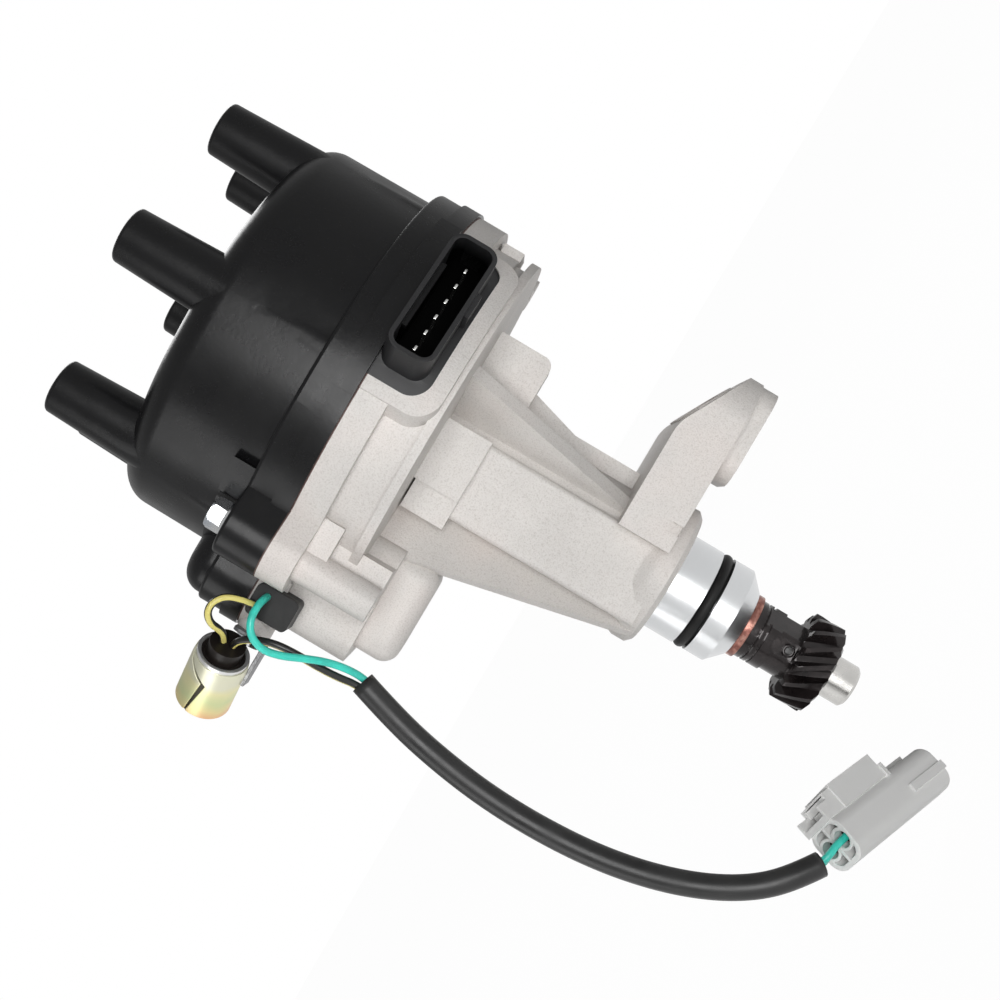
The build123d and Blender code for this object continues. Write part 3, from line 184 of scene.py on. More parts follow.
class SocketSettings(bpy.types.PropertyGroup):
    """Place and inside of the six-pin socket."""

    turn: FloatProperty(
        name="Turn", description="Turn of the socket about the shaft",
        default=math.radians(28), subtype="ANGLE", unit="ROTATION")
    mouth: FloatProperty(
        name="Mouth", description="Distance of the socket's mouth from the shaft",
        default=68.0 * MM, subtype="DISTANCE", unit="LENGTH")
    depth: FloatProperty(
        name="Depth", description="Depth of the socket",
        default=11.0 * MM, subtype="DISTANCE", unit="LENGTH")
    width: FloatProperty(
        name="Width", description="Width inside the socket",
        default=37.5 * MM, subtype="DISTANCE", unit="LENGTH")
    opening: FloatProperty(
        name="Opening", description="Height inside the socket",
        default=10.9 * MM, subtype="DISTANCE", unit="LENGTH")
    height: FloatProperty(
        name="Height", description="Height of the socket's middle above the ear",
        default=90.45 * MM, subtype="DISTANCE", unit="LENGTH")


class ClampSettings(bpy.types.PropertyGroup):
    """Sizes of the condenser's rolled clamp and its strap."""

    rear: FloatVectorProperty(
        name="Rear", description="Middle of the condenser's rear end",
        default=(-93.4 * MM, -22.0 * MM, 94.4 * MM), size=3, subtype="TRANSLATION", unit="LENGTH")
    front: FloatVectorProperty(
        name="Front", description="Middle of the condenser's front end",
        default=(-77.2 * MM, -34.2 * MM, 94.7 * MM), size=3, subtype="TRANSLATION", unit="LENGTH")
    inside: FloatProperty(
        name="Inside radius", description="Radius of the can that the clamp holds",
        default=7.2 * MM, subtype="DISTANCE", unit="LENGTH")
    wall: FloatProperty(
        name="Wall", description="Thickness of the rolled sheet",
        default=0.6 * MM, subtype="DISTANCE", unit="LENGTH")
    rear_margin: FloatProperty(
        name="Rear margin", description="Length of the can left bare behind the clamp",
        default=1.3 * MM, subtype="DISTANCE", unit="LENGTH")
    front_margin: FloatProperty(
        name="Front margin", description="Length of the can's rim left bare before the clamp",
        default=1.2 * MM, subtype="DISTANCE", unit="LENGTH")
    roll_in: FloatProperty(
        name="Rolled edge", description="How far the clamp's front edge rolls in",
        default=0.25 * MM, subtype="DISTANCE", unit="LENGTH")
    seam_front: FloatProperty(
        name="Seam at the front", description="Place of the seam round the clamp's front edge",
        default=math.radians(18), subtype="ANGLE", unit="ROTATION")
    seam_point: FloatProperty(
        name="Seam's point", description="How far round the point of the V reaches",
        default=math.radians(88), subtype="ANGLE", unit="ROTATION")
    seam_rear: FloatProperty(
        name="Seam at the rear", description="Place of the seam round the clamp's rear edge",
        default=math.radians(73), subtype="ANGLE", unit="ROTATION")
    front_gap: FloatProperty(
        name="Front gap", description="Gap left open at the seam's front end",
        default=math.radians(13), subtype="ANGLE", unit="ROTATION")
    rear_gap: FloatProperty(
        name="Rear gap", description="Gap left open at the seam's rear end",
        default=math.radians(4), subtype="ANGLE", unit="ROTATION")
    strap_width: FloatProperty(
        name="Strap", description="Width of the strap that carries the clamp",
        default=10.0 * MM, subtype="DISTANCE", unit="LENGTH")
    strap_sheet: FloatProperty(
        name="Strap sheet", description="Thickness of the strap",
        default=1.2 * MM, subtype="DISTANCE", unit="LENGTH")
    strap_place: FloatVectorProperty(
        name="Strap's top", description="Top front corner of the strap on the coil chamber",
        default=(-71.3 * MM, -31.0 * MM, 96.9 * MM), size=3,
        subtype="TRANSLATION", unit="LENGTH")
    strap_reach: FloatProperty(
        name="Strap's reach", description="How far the strap runs under the can",
        default=6.0 * MM, subtype="DISTANCE", unit="LENGTH")
    strap_sink: FloatProperty(
        name="Strap's seat", description="How far the strap sinks into the clamp's underside",
        default=0.2 * MM, subtype="DISTANCE", unit="LENGTH")
    strap_bend: FloatProperty(
        name="Strap's bend", description="Size of the strap's bend",
        default=1.6 * MM, subtype="DISTANCE", unit="LENGTH")
    strap_corner: FloatProperty(
        name="Strap's corners", description="Rounding of the strap's top corners",
        default=2.0 * MM, subtype="DISTANCE", unit="LENGTH")


class StudioSettings(bpy.types.PropertyGroup):
    """Camera, lamps and floor."""

    camera_place: FloatVectorProperty(
        name="Camera", description="Place of the camera",
        default=(-0.0049, -0.5, 0.0522), size=3, subtype="TRANSLATION", unit="LENGTH")
    camera_roll: FloatProperty(
        name="Roll", description="Turn of the camera about its own axis",
        default=math.radians(59.3), subtype="ANGLE", unit="ROTATION")
    lens: FloatProperty(
        name="Lens", description="Focal length on a 36 mm wide sensor",
        default=63.0, unit="CAMERA")
    floor_drop: FloatProperty(
        name="Floor", description="Height of the floor",
        default=-0.0965, subtype="DISTANCE", unit="LENGTH")
    floor_radius: FloatProperty(
        name="Floor radius", description="Radius of the round floor",
        default=3.0, subtype="DISTANCE", unit="LENGTH")
    floor_white: FloatProperty(
        name="Floor's white", description="Share of plain white in the floor as it is seen",
        default=0.98, subtype="FACTOR")
    sky: FloatProperty(
        name="Room light", description="Strength of the light from all round", default=0.05)
    mirrored: FloatProperty(
        name="Mirrored room", description="Strength of the room where gloss reflects it",
        default=0.42)


# Building materials from nodes
def new_finish(name, colour, roughness, metallic=0.0):
    """A material with its shader's plain values set."""
    finish = bpy.data.materials.new(name)
    finish.use_nodes = True
    tree = finish.node_tree
    shader = tree.nodes["Principled BSDF"]
    shader.inputs["Base Color"].default_value = (*colour, 1.0)
    shader.inputs["Roughness"].default_value = roughness
    shader.inputs["Metallic"].default_value = metallic
    return finish, tree, shader


def add_node(tree, kind, inputs=None, **settings):
    """A new node; inputs takes numbers, colours or the sockets that feed it."""
    made = tree.nodes.new("ShaderNode" + kind)
    for key, value in settings.items():
        setattr(made, key, value)
    for key, value in (inputs or {}).items():
        if isinstance(value, bpy.types.NodeSocket):
            tree.links.new(value, made.inputs[key])
        else:
            made.inputs[key].default_value = value
    return made


def place_of(tree, stretch=(1.0, 1.0, 1.0)):
    """Object coordinates in metres, stretched along each axis."""
    place = add_node(tree, "TexCoord").outputs["Object"]
    if stretch == (1.0, 1.0, 1.0):
        return place
    return add_node(tree, "Mapping", {"Vector": place, "Scale": stretch}).outputs["Vector"]


def noise(tree, place, scale, detail, roughness=0.5):
    """Cloudy pattern; scale counts its patches in a metre."""
    return add_node(tree, "TexNoise", {
        "Vector": place, "Scale": scale, "Detail": detail, "Roughness": roughness,
    }).outputs["Fac"]


def ramp(tree, factor, *stops):
    """Colour ramp through (position, grey or colour) stops."""
    made = add_node(tree, "ValToRGB", {"Fac": factor})
    elements = made.color_ramp.elements
    while len(elements) < len(stops):
        elements.new(0.5)
    for element, (position, value) in zip(elements, stops):
        colour = value if isinstance(value, tuple) else (value, value, value)
        element.position = position
        element.color = (*colour, 1.0)
    return made.outputs["Color"]


def mix(tree, factor, first, second, blend="MIX"):
    """Colour mixed from first to second."""
    made = add_node(tree, "Mix", data_type="RGBA", blend_type=blend)
    for socket, value in zip((made.inputs[0], made.inputs[6], made.inputs[7]),
                             (factor, first, second)):
        if isinstance(value, bpy.types.NodeSocket):
            tree.links.new(value, socket)
        elif isinstance(value, tuple):
            socket.default_value = (*value, 1.0)
        else:
            socket.default_value = value
    return made.outputs[2]


def maths(tree, operation, first, second=0.0):
    """Result of one sum on two values."""
    return add_node(tree, "Math", {0: first, 1: second}, operation=operation).outputs[0]


def relief(tree, shader, height, distance, strength):
    """Fine bumps on the shader, from a height socket."""
    bump = add_node(tree, "Bump", {"Height": height, "Distance": distance, "Strength": strength})
    tree.links.new(bump.outputs["Normal"], shader.inputs["Normal"])


def feed(tree, socket, shader, name):
    """Leads a socket to the shader's input of this name."""
    tree.links.new(socket, shader.inputs[name])


def shade(colour, factor):
    """The colour made darker or lighter by a factor."""
    return tuple(c * factor for c in colour)


# Finishes
def turned_mask(tree, place, radius, top):
    """1 inside the given radius and below the given height, else 0."""
    parts = add_node(tree, "SeparateXYZ", {"Vector": place})
    flat = add_node(tree, "CombineXYZ", {"X": parts.outputs["X"], "Y": parts.outputs["Y"]})
    distance = add_node(tree, "VectorMath", {0: flat.outputs[0]}, operation="LENGTH")
    inside = maths(tree, "LESS_THAN", distance.outputs["Value"], radius)
    below = maths(tree, "LESS_THAN", parts.outputs["Z"], top)
    return maths(tree, "MULTIPLY", inside, below)


def height_of(tree, place):
    """Height of a place above the ear's seat."""
    return add_node(tree, "SeparateXYZ", {"Vector": place}).outputs["Z"]


def cast_finish():
    """Sand-cast aluminium with its turned spigot, and a painted shadow under the joint with the
    cap.
    """
    colour = plain("cast_colour")
    finish, tree, shader = new_finish("cast_aluminium", colour, 0.5)
    place = place_of(tree)
    grain = noise(tree, place, 2300, 3.0, 0.65)
    pits = noise(tree, place, 700, 3.0, 0.6)
    cloud = noise(tree, place, 38, 2.0)
    machined = turned_mask(tree, place, SPIGOT_RADIUS, SPIGOT_TOP)
    speckle = ramp(tree, grain, (0.30, (0.74, 0.72, 0.70)), (0.50, (0.97, 0.965, 0.96)),
                   (0.68, (1.0, 1.0, 1.0)))
    tone = ramp(tree, cloud, (0.3, shade(colour, 0.93)), (0.5, colour),
                (0.7, (0.76, 0.715, 0.685)))
    sandy = mix(tree, 0.8, tone, speckle, "MULTIPLY")
    metal = mix(tree, machined, sandy, (0.66, 0.67, 0.68))
    # Painted shadow: just under the joint the casting turns dark reddish brown, standing in for
    # the shade in the joint's gap
    seam_shadow = maths(tree, "GREATER_THAN", height_of(tree, place), SEAM_HEIGHT - SEAM_SHADOW)
    feed(tree, mix(tree, seam_shadow, metal, (0.10, 0.055, 0.045)), shader, "Base Color")
    feed(tree, mix(tree, machined, ramp(tree, pits, (0.3, 0.46), (0.7, 0.60)),
                   (0.27, 0.27, 0.27)), shader, "Roughness")
    feed(tree, mix(tree, machined, (0.1, 0.1, 0.1), (1.0, 1.0, 1.0)), shader, "Metallic")
    turning = noise(tree, place_of(tree, (1.0, 1.0, 60.0)), 90, 2.0)
    sand = maths(tree, "ADD", grain, pits)
    faint_rings = maths(tree, "MULTIPLY", turning, 0.12)
    relief(tree, shader, mix(tree, machined, sand, faint_rings), 0.00020, 0.55)
    return finish


def moulding_finish(name, colour, gloss, shine=0.16):
    """Black or grey moulding with a faint ripple and a little dust."""
    finish, tree, shader = new_finish(name, colour, gloss)
    place = place_of(tree)
    film = noise(tree, place, 55, 4.0, 0.6)
    fine = noise(tree, place, 900, 2.0)
    dust = noise(tree, place, 2600, 1.0)
    specks = ramp(tree, dust, (0.73, 0.0), (0.78, 0.35))
    feed(tree, mix(tree, specks, colour, tuple(min(1.0, c * 1.6 + 0.07) for c in colour)),
         shader, "Base Color")
    feed(tree, ramp(tree, film, (0.3, gloss * 0.82), (0.7, min(1.0, gloss * 1.25))),
         shader, "Roughness")
    shader.inputs["Specular IOR Level"].default_value = shine
    wavy = maths(tree, "ADD", maths(tree, "MULTIPLY", film, 3.0), fine)
    relief(tree, shader, wavy, 0.00005, 0.35)
    return finish


def socket_shade_share(tree, place):
    """Share of painted shade inside the socket: 0 outside the socket and at its mouth, rising to
    1 at its floor.
    """
    sizes = bpy.context.scene.socket_settings
    middle = sizes.mouth - sizes.depth / 2
    local = add_node(tree, "Mapping", {
        "Vector": place,
        "Location": (middle * math.sin(sizes.turn), -middle * math.cos(sizes.turn), sizes.height),
        "Rotation": (0.0, 0.0, sizes.turn),
        "Scale": (sizes.width / 2, sizes.depth / 2, sizes.opening / 2),
    }, vector_type="TEXTURE")
    parts = add_node(tree, "SeparateXYZ", {"Vector": local.outputs["Vector"]})
    across = maths(tree, "LESS_THAN", maths(tree, "ABSOLUTE", parts.outputs["X"]), 1.0)
    upright = maths(tree, "LESS_THAN", maths(tree, "ABSOLUTE", parts.outputs["Z"]), 1.0)
    deep = add_node(tree, "MapRange", {"Value": parts.outputs["Y"], "From Min": -1.0})
    within = maths(tree, "MULTIPLY", across, upright)
    return maths(tree, "MULTIPLY", within, deep.outputs["Result"])


def socket_finish():
    """Black moulding with painted shade that darkens it towards the floor of the socket."""
    finish = moulding_finish("socket_moulding", (0.012, 0.012, 0.013), 0.46, 0.5)
    tree = finish.node_tree
    shader = tree.nodes["Principled BSDF"]
    deep = socket_shade_share(tree, place_of(tree))
    skin = shader.inputs["Base Color"].links[0].from_socket
    # Painted shade: deeper in the socket the colour goes near black and the specular falls away,
    # as if its floor were out of the light
    feed(tree, mix(tree, ramp(tree, deep, (0.05, 0.0), (0.5, 1.0)), skin, (0.001, 0.001, 0.001)),
         shader, "Base Color")
    feed(tree, ramp(tree, deep, (0.05, 0.5), (0.5, 0.02)), shader, "Specular IOR Level")
    return finish


def turned_finish(name, colour, gloss):
    """Metal turned or ground about the shaft's axis, with fine rings."""
    finish, tree, shader = new_finish(name, colour, gloss, 1.0)
    place = place_of(tree)
    rings = add_node(tree, "TexWave", {"Vector": place, "Scale": 900.0, "Distortion": 1.5,
                                       "Detail": 2.0, "Detail Scale": 2.0},
                     bands_direction="Z")
    film = noise(tree, place, 220, 3.0)
    feed(tree, ramp(tree, film, (0.3, shade(colour, 0.9)), (0.7, shade(colour, 1.05))),
         shader, "Base Color")
    feed(tree, ramp(tree, film, (0.3, gloss * 0.8), (0.75, gloss * 1.4)), shader, "Roughness")
    relief(tree, shader, rings.outputs["Fac"], 0.00002, 0.4)
    return finish


def plated_finish(name, colours, gloss, patch=130.0):
    """Plated sheet or screws: a metal whose tint wanders between the given colours."""
    finish, tree, shader = new_finish(name, colours[0], gloss, 1.0)
    place = place_of(tree)
    cloud = noise(tree, place, patch, 2.0)
    fine = noise(tree, place, 1800, 2.0)
    low, high = 0.32, 0.68
    step = (high - low) / (len(colours) - 1)
    feed(tree, ramp(tree, cloud, *[(low + k * step, c) for k, c in enumerate(colours)]),
         shader, "Base Color")
    feed(tree, ramp(tree, fine, (0.3, gloss * 0.8), (0.7, gloss * 1.3)), shader, "Roughness")
    relief(tree, shader, fine, 0.00001, 0.25)
    return finish


def rubber_finish(name="black_rubber", colour=(0.010, 0.010, 0.010), gloss=0.45, shine=0.2):
    """Black rubber, a little oily."""
    finish, tree, shader = new_finish(name, colour, gloss)
    shader.inputs["Specular IOR Level"].default_value = shine
    place = place_of(tree)
    skin = noise(tree, place, 700, 3.0)
    smear = noise(tree, place, 90, 3.0)
    feed(tree, ramp(tree, smear, (0.3, shade(colour, 0.8)), (0.75, shade(colour, 2.2))),
         shader, "Base Color")
    feed(tree, ramp(tree, smear, (0.3, gloss * 0.8), (0.7, gloss * 1.3)), shader, "Roughness")
    relief(tree, shader, skin, 0.00005, 0.5)
    return finish


def insulation_finish(name, colour):
    """Extruded insulation of one colour."""
    finish, tree, shader = new_finish(name, colour, 0.32)
    place = place_of(tree)
    streak = noise(tree, place, 350, 3.0)
    feed(tree, ramp(tree, streak, (0.3, shade(colour, 0.86)), (0.7, shade(colour, 1.1))),
         shader, "Base Color")
    relief(tree, shader, streak, 0.00004, 0.4)
    shader.inputs["Coat Weight"].default_value = 0.15
    return finish


def striped_finish(name, ground, stripe, first, last):
    """Insulation with a stripe along the wire, between two shares of its round."""
    finish, tree, shader = new_finish(name, ground, 0.33)
    round_share = add_node(tree, "SeparateXYZ", {
        "Vector": add_node(tree, "UVMap").outputs["UV"]}).outputs["Y"]
    wander = maths(tree, "MULTIPLY", noise(tree, place_of(tree), 240, 1.0), 0.06)
    share = maths(tree, "ADD", round_share, wander)
    after = maths(tree, "GREATER_THAN", share, first)
    before = maths(tree, "LESS_THAN", share, last)
    feed(tree, mix(tree, maths(tree, "MULTIPLY", after, before), ground, stripe),
         shader, "Base Color")
    relief(tree, shader, noise(tree, place_of(tree), 600, 2.0), 0.00003, 0.4)
    return finish


def gear_finish():
    """Blackened steel under a film of oil."""
    colour = plain("gear_colour")
    finish, tree, shader = new_finish("blackened_steel", colour, 0.2, 0.3)
    place = place_of(tree)
    film = noise(tree, place, 160, 4.0, 0.6)
    fine = noise(tree, place, 1400, 2.0)
    feed(tree, ramp(tree, film, (0.3, shade(colour, 0.6)), (0.75, shade(colour, 1.8))),
         shader, "Base Color")
    feed(tree, ramp(tree, film, (0.25, 0.10), (0.75, 0.30)), shader, "Roughness")
    shader.inputs["Specular IOR Level"].default_value = 0.2
    relief(tree, shader, maths(tree, "ADD", maths(tree, "MULTIPLY", film, 2.0), fine),
           0.00005, 0.5)
    shader.inputs["Coat Weight"].default_value = 0.25
    shader.inputs["Coat Roughness"].default_value = 0.12
    return finish


def can_share(tree, place):
    """How far along the condenser a place lies, 0 at the rear and 1 at the front."""
    sizes = bpy.context.scene.clamp_settings
    rear, front = Vector(sizes.rear), Vector(sizes.front)
    axis = (front - rear).normalized()
    from_rear = add_node(tree, "VectorMath", {0: place, 1: tuple(rear)}, operation="SUBTRACT")
    along = add_node(tree, "VectorMath", {0: from_rear.outputs[0], 1: tuple(axis)},
                     operation="DOT_PRODUCT").outputs["Value"]
    return maths(tree, "DIVIDE", along, (front - rear).length)


def can_finish():
    """Bright rolled rim, and painted shade where the clamp covers the can."""
    finish, tree, shader = new_finish("can_metal", (0.7, 0.7, 0.7), 0.30, 0.8)
    rim = maths(tree, "GREATER_THAN", can_share(tree, place_of(tree)), 0.90)
    # Painted shade: behind the rim the can is near black, so that the clamp's seam looks dark
    feed(tree, mix(tree, rim, (0.035, 0.032, 0.022), (0.74, 0.74, 0.74)), shader, "Base Color")
    return finish


def clamp_finish():
    """Yellow-plated sheet whose film turns orange towards the rear and silver at the side."""
    finish, tree, shader = new_finish("clamp_plating", (0.7, 0.65, 0.4), 0.38, 0.7)
    place = place_of(tree)
    cloud = noise(tree, place, 85, 2.0)
    wander = maths(tree, "ADD", can_share(tree, place), maths(tree, "MULTIPLY", cloud, 0.55))
    film = ramp(tree, wander, (0.22, (0.84, 0.42, 0.24)), (0.42, (0.80, 0.68, 0.34)),
                (0.62, (0.66, 0.70, 0.38)), (0.84, (0.80, 0.76, 0.44)), (1.0, (0.76, 0.75, 0.58)))
    feed(tree, film, shader, "Base Color")
    relief(tree, shader, cloud, 0.00008, 0.3)
    return finish


finishes = {}


def finish_named(name):
    """Each finish is made once, when it is first asked for."""
    if name not in finishes:
        finishes[name] = FINISH_MAKERS[name]()
    return finishes[name]


def plain(colour_name):
    """One of the colours in the finish settings."""
    return tuple(getattr(bpy.context.scene.finish_settings, colour_name))


FINISH_MAKERS = {
    "cast": cast_finish,
    "cap": lambda: moulding_finish("cap_moulding", plain("cap_colour"), 0.28, 0.28),
    "black_moulding": lambda: moulding_finish("black_moulding", (0.007, 0.007, 0.0075), 0.32),
    "rotor_moulding": lambda: moulding_finish("rotor_moulding", (0.06, 0.022, 0.012), 0.4),
    "socket": socket_finish,
    "plug": lambda: moulding_finish("plug_moulding", plain("plug_colour"), 0.42, 0.4),
    "gear": gear_finish,
    "shaft": lambda: turned_finish("ground_shaft", (0.58, 0.57, 0.55), 0.24),
    "steel": lambda: turned_finish("ground_steel", (0.46, 0.46, 0.47), 0.20),
    "balls": lambda: turned_finish("polished_balls", (0.75, 0.75, 0.77), 0.10),
    "aluminium": lambda: turned_finish("turned_aluminium", (0.78, 0.79, 0.80), 0.28),
    "bronze": lambda: turned_finish("sintered_bronze", (0.50, 0.31, 0.14), 0.42),
    "copper": lambda: plated_finish(
        "copper_washer", ((0.13, 0.055, 0.045), (0.24, 0.105, 0.085), (0.50, 0.27, 0.22)), 0.30,
        320.0),
    "brass": lambda: plated_finish(
        "brass", ((0.66, 0.46, 0.18), (0.76, 0.57, 0.26)), 0.26),
    "zinc": lambda: plated_finish(
        "bright_zinc", ((0.62, 0.66, 0.72), (0.78, 0.80, 0.82), (0.86, 0.86, 0.84)), 0.22),
    "clamp": clamp_finish,
    "strap": lambda: plated_finish(
        "strap_plating", ((0.15, 0.15, 0.16), (0.24, 0.24, 0.24)), 0.50),
    "can": can_finish,
    "tin": lambda: plated_finish("tinned", ((0.74, 0.74, 0.72), (0.86, 0.86, 0.84)), 0.22),
    "core": lambda: turned_finish("laminations", (0.16, 0.16, 0.17), 0.5),
    "carbon": lambda: rubber_finish("carbon", (0.03, 0.03, 0.03), 0.55),
    "rubber": rubber_finish,
    "seal_rubber": lambda: rubber_finish("seal_rubber", (0.011, 0.009, 0.008), 0.30),
    "sleeve": lambda: rubber_finish("sleeve", SHEATH_BLACK, 0.38, 0.5),
    "signal": lambda: insulation_finish("turquoise_insulation", plain("signal_colour")),
    "feed": lambda: striped_finish(
        "yellow_insulation", SHEATH_BLACK, plain("striped_colour"), 0.64, 0.88),
    "ground": lambda: striped_finish(
        "black_insulation", SHEATH_BLACK, plain("striped_colour"), 0.50, 0.60),
}

# Finish and kind of edge of each solid that is shown as it is
CAP_SOLIDS = {
    "distributor_cap": ("cap", "moulded"),
    "cap_electrodes": ("brass", "stamped"),
    "contact_bar": ("brass", "stamped"),
    "carbon_brush": ("carbon", None),
    "cap_gasket": ("rubber", "stamped"),
}
COIL_SOLIDS = {
    "coil_core": ("core", "turned"),
    "coil_body": ("black_moulding", "moulded"),
    "coil_button": ("brass", None),
    "power_module": ("black_moulding", "turned"),
}
HOUSING_SOLIDS = {
    "housing": ("cast", "cast"),
    "lower_bush": ("bronze", "stamped"),
    "oil_seal": ("rubber", None),
    "o_ring": ("rubber", None),
    "grommet": ("rubber", "moulded"),
}
BEARING_SOLIDS = {
    "bearing_outer_race": ("steel", "turned"),
    "bearing_inner_race": ("steel", "turned"),
    "bearing_balls": ("balls", None),
    "ball_cage": ("brass", None),
    "bearing_retainer": ("zinc", "stamped"),
    "bearing_shoulder": ("steel", "turned"),
}
SENSOR_SOLIDS = {
    "sensor_plate": ("zinc", "turned"),
    "optical_pickup": ("black_moulding", "moulded"),
    "slotted_disc": ("zinc", None),
    "disc_spacer": ("aluminium", "turned"),
    "disc_clamp": ("aluminium", None),
    "dust_cover": ("black_moulding", "turned"),
}
ROTOR_SOLIDS = {
    "rotor_arm": ("rotor_moulding", "moulded"),
    "rotor_contact": ("brass", "stamped"),
}
DRIVE_SOLIDS = {
    "shaft": ("shaft", "turned"),
    "thrust_washer": ("copper", "turned"),
    "drive_gear": ("gear", "turned"),
    "roll_pin": ("gear", "stamped"),
}
SOCKET_SOLIDS = {
    "connector_socket": ("socket", "moulded"),
    "socket_pins": ("tin", "stamped"),
}
CONDENSER_SOLIDS = {
    "condenser_can": ("can", "turned"),
    "condenser_end": ("seal_rubber", "turned"),
}
PLUG_SOLIDS = {
    "plug_housing": ("plug", "moulded"),
    "plug_contacts": ("tin", None),
    "plug_seals": ("rubber", "turned"),
}
SCREW_SOLIDS = {
    "cap_screws": ("zinc", "turned"),
    "retainer_screws": ("zinc", "stamped"),
    "rotor_screw": ("zinc", "stamped"),
    "condenser_screw": ("zinc", "turned"),
}


def dress(solids):
    """Gives solids their finish, and rounds their edges with modifiers."""
    edges = bpy.context.scene.edge_settings
    for name, (finish_name, edge) in solids.items():
        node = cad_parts[name]
        node.data.materials.clear()
        node.data.materials.append(finish_named(finish_name))
        node.data.polygons.foreach_set("use_smooth", [True] * len(node.data.polygons))
        join = node.modifiers.new("join", "WELD")
        join.merge_threshold = JOIN_DISTANCE
        if edge:
            rounding = node.modifiers.new("rounding", "BEVEL")
            rounding.width = getattr(edges, edge)
            rounding.segments = 2
            rounding.limit_method = "ANGLE"
            rounding.angle_limit = math.radians(28)
            rounding.harden_normals = True
            rounding.miter_outer = "MITER_ARC"
            even = node.modifiers.new("even", "WEIGHTED_NORMAL")
            even.weight = 50
            even.keep_sharp = True


def link(piece):
    """Puts a piece in the scene."""
    bpy.context.scene.collection.objects.link(piece)
    return piece


def route_curve(name, route, diameter, finish_name):
    """A cord as a smooth curve with the route's points as its control points."""
    curve = bpy.data.curves.new(name, "CURVE")
    curve.dimensions = "3D"
    curve.bevel_depth = diameter / 2
    curve.bevel_resolution = 6
    curve.resolution_u = 10
    curve.use_fill_caps = True
    spline = curve.splines.new("NURBS")
    spline.points.add(len(route) - 1)
    for point, place in zip(spline.points, route):
        point.co = (*place, 1.0)
    spline.order_u = 3
    spline.use_endpoint_u = True
    curve.materials.append(finish_named(finish_name))
    return link(bpy.data.objects.new(name, curve))


class DISTRIBUTOR_OT_harness(bpy.types.Operator):
    """Wires, harness sleeve and the leads that enter the plug"""

    bl_idname = "distributor.harness"
    bl_label = "Harness"

    def execute(self, context):
        sizes = context.scene.harness_settings
        signal = route_curve("signal_wire_cord", SIGNAL_ROUTE, sizes.wire, "signal")
        feed_wire = route_curve("feed_wire_cord", FEED_ROUTE, sizes.wire, "feed")
        ground = route_curve("ground_wire_cord", GROUND_ROUTE, sizes.wire, "ground")
        sleeve = route_curve("harness_sleeve_cord", SLEEVE_ROUTE, sizes.sleeve, "sleeve")
        leads = [
            route_curve("front_lead", FRONT_LEAD_ROUTE, sizes.wire, "signal"),
            route_curve("back_lead", BACK_LEAD_ROUTE, sizes.wire, "signal"),
        ]
        sleeve.data.use_fill_caps = False
        wall = sleeve.modifiers.new("wall", "SOLIDIFY")
        wall.thickness = sizes.sleeve_wall
        wall.offset = -1
        for piece in (signal, feed_wire, ground, sleeve, *leads):
            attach(piece, "unit")
        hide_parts("signal_wire")
        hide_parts("feed_wire")
        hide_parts("ground_wire")
        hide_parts("harness_sleeve")
        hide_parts("plug_leads")
        return {"FINISHED"}


class DISTRIBUTOR_OT_cap(bpy.types.Operator):
    """Cap with its towers, electrodes, brush and gasket"""

    bl_idname = "distributor.cap"
    bl_label = "Cap"

    def execute(self, context):
        dress(CAP_SOLIDS)
        spring = spring_copy()
        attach(spring, "unit")
        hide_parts("brush_spring")
        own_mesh(spring)
        return {"FINISHED"}


def spring_copy():
    """The brush's spring as a piece of its own, its corners joined."""
    build = bmesh.new()
    build.from_mesh(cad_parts["brush_spring"].data)
    bmesh.ops.remove_doubles(build, verts=build.verts, dist=JOIN_DISTANCE)
    return piece_from(build, "pressed_spring", "steel")


class DISTRIBUTOR_OT_coil(bpy.types.Operator):
    """Coil and power module under the cap's lobe"""

    bl_idname = "distributor.coil"
    bl_label = "Coil"

    def execute(self, context):
        dress(COIL_SOLIDS)
        return {"FINISHED"}


class DISTRIBUTOR_OT_housing(bpy.types.Operator):
    """Casting with its bush, seals, O-ring and grommet"""

    bl_idname = "distributor.housing"
    bl_label = "Housing"

    def execute(self, context):
        dress(HOUSING_SOLIDS)
        return {"FINISHED"}


class DISTRIBUTOR_OT_bearing(bpy.types.Operator):
    """Ball bearing, its retainer and the shaft's shoulder"""

    bl_idname = "distributor.bearing"
    bl_label = "Bearing"

    def execute(self, context):
        dress(BEARING_SOLIDS)
        return {"FINISHED"}


class DISTRIBUTOR_OT_sensor(bpy.types.Operator):
    """Sensor plate, slotted disc and dust cover"""

    bl_idname = "distributor.sensor"
    bl_label = "Sensor"

    def execute(self, context):
        dress(SENSOR_SOLIDS)
        return {"FINISHED"}


class DISTRIBUTOR_OT_rotor(bpy.types.Operator):
    """Rotor arm and its contact"""

    bl_idname = "distributor.rotor"
    bl_label = "Rotor"

    def execute(self, context):
        dress(ROTOR_SOLIDS)
        return {"FINISHED"}


class DISTRIBUTOR_OT_drive(bpy.types.Operator):
    """Shaft, thrust washer, helical gear and roll pin"""

    bl_idname = "distributor.drive"
    bl_label = "Drive"

    def execute(self, context):
        dress(DRIVE_SOLIDS)
        return {"FINISHED"}


class DISTRIBUTOR_OT_socket(bpy.types.Operator):
    """Socket on the housing and its six pins"""

    bl_idname = "distributor.socket"
    bl_label = "Socket"

    def execute(self, context):
        dress(SOCKET_SOLIDS)
        return {"FINISHED"}


class DISTRIBUTOR_OT_condenser(bpy.types.Operator):
    """Condenser in its plated clamp"""

    bl_idname = "distributor.condenser"
    bl_label = "Condenser"

    def execute(self, context):
        dress(CONDENSER_SOLIDS)
        sizes = context.scene.clamp_settings
        clamp = rolled_clamp(sizes)
        strap = bent_strap(sizes)
        for piece in (clamp, strap):
            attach(piece, "unit")
        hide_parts("condenser_bracket")
        return {"FINISHED"}


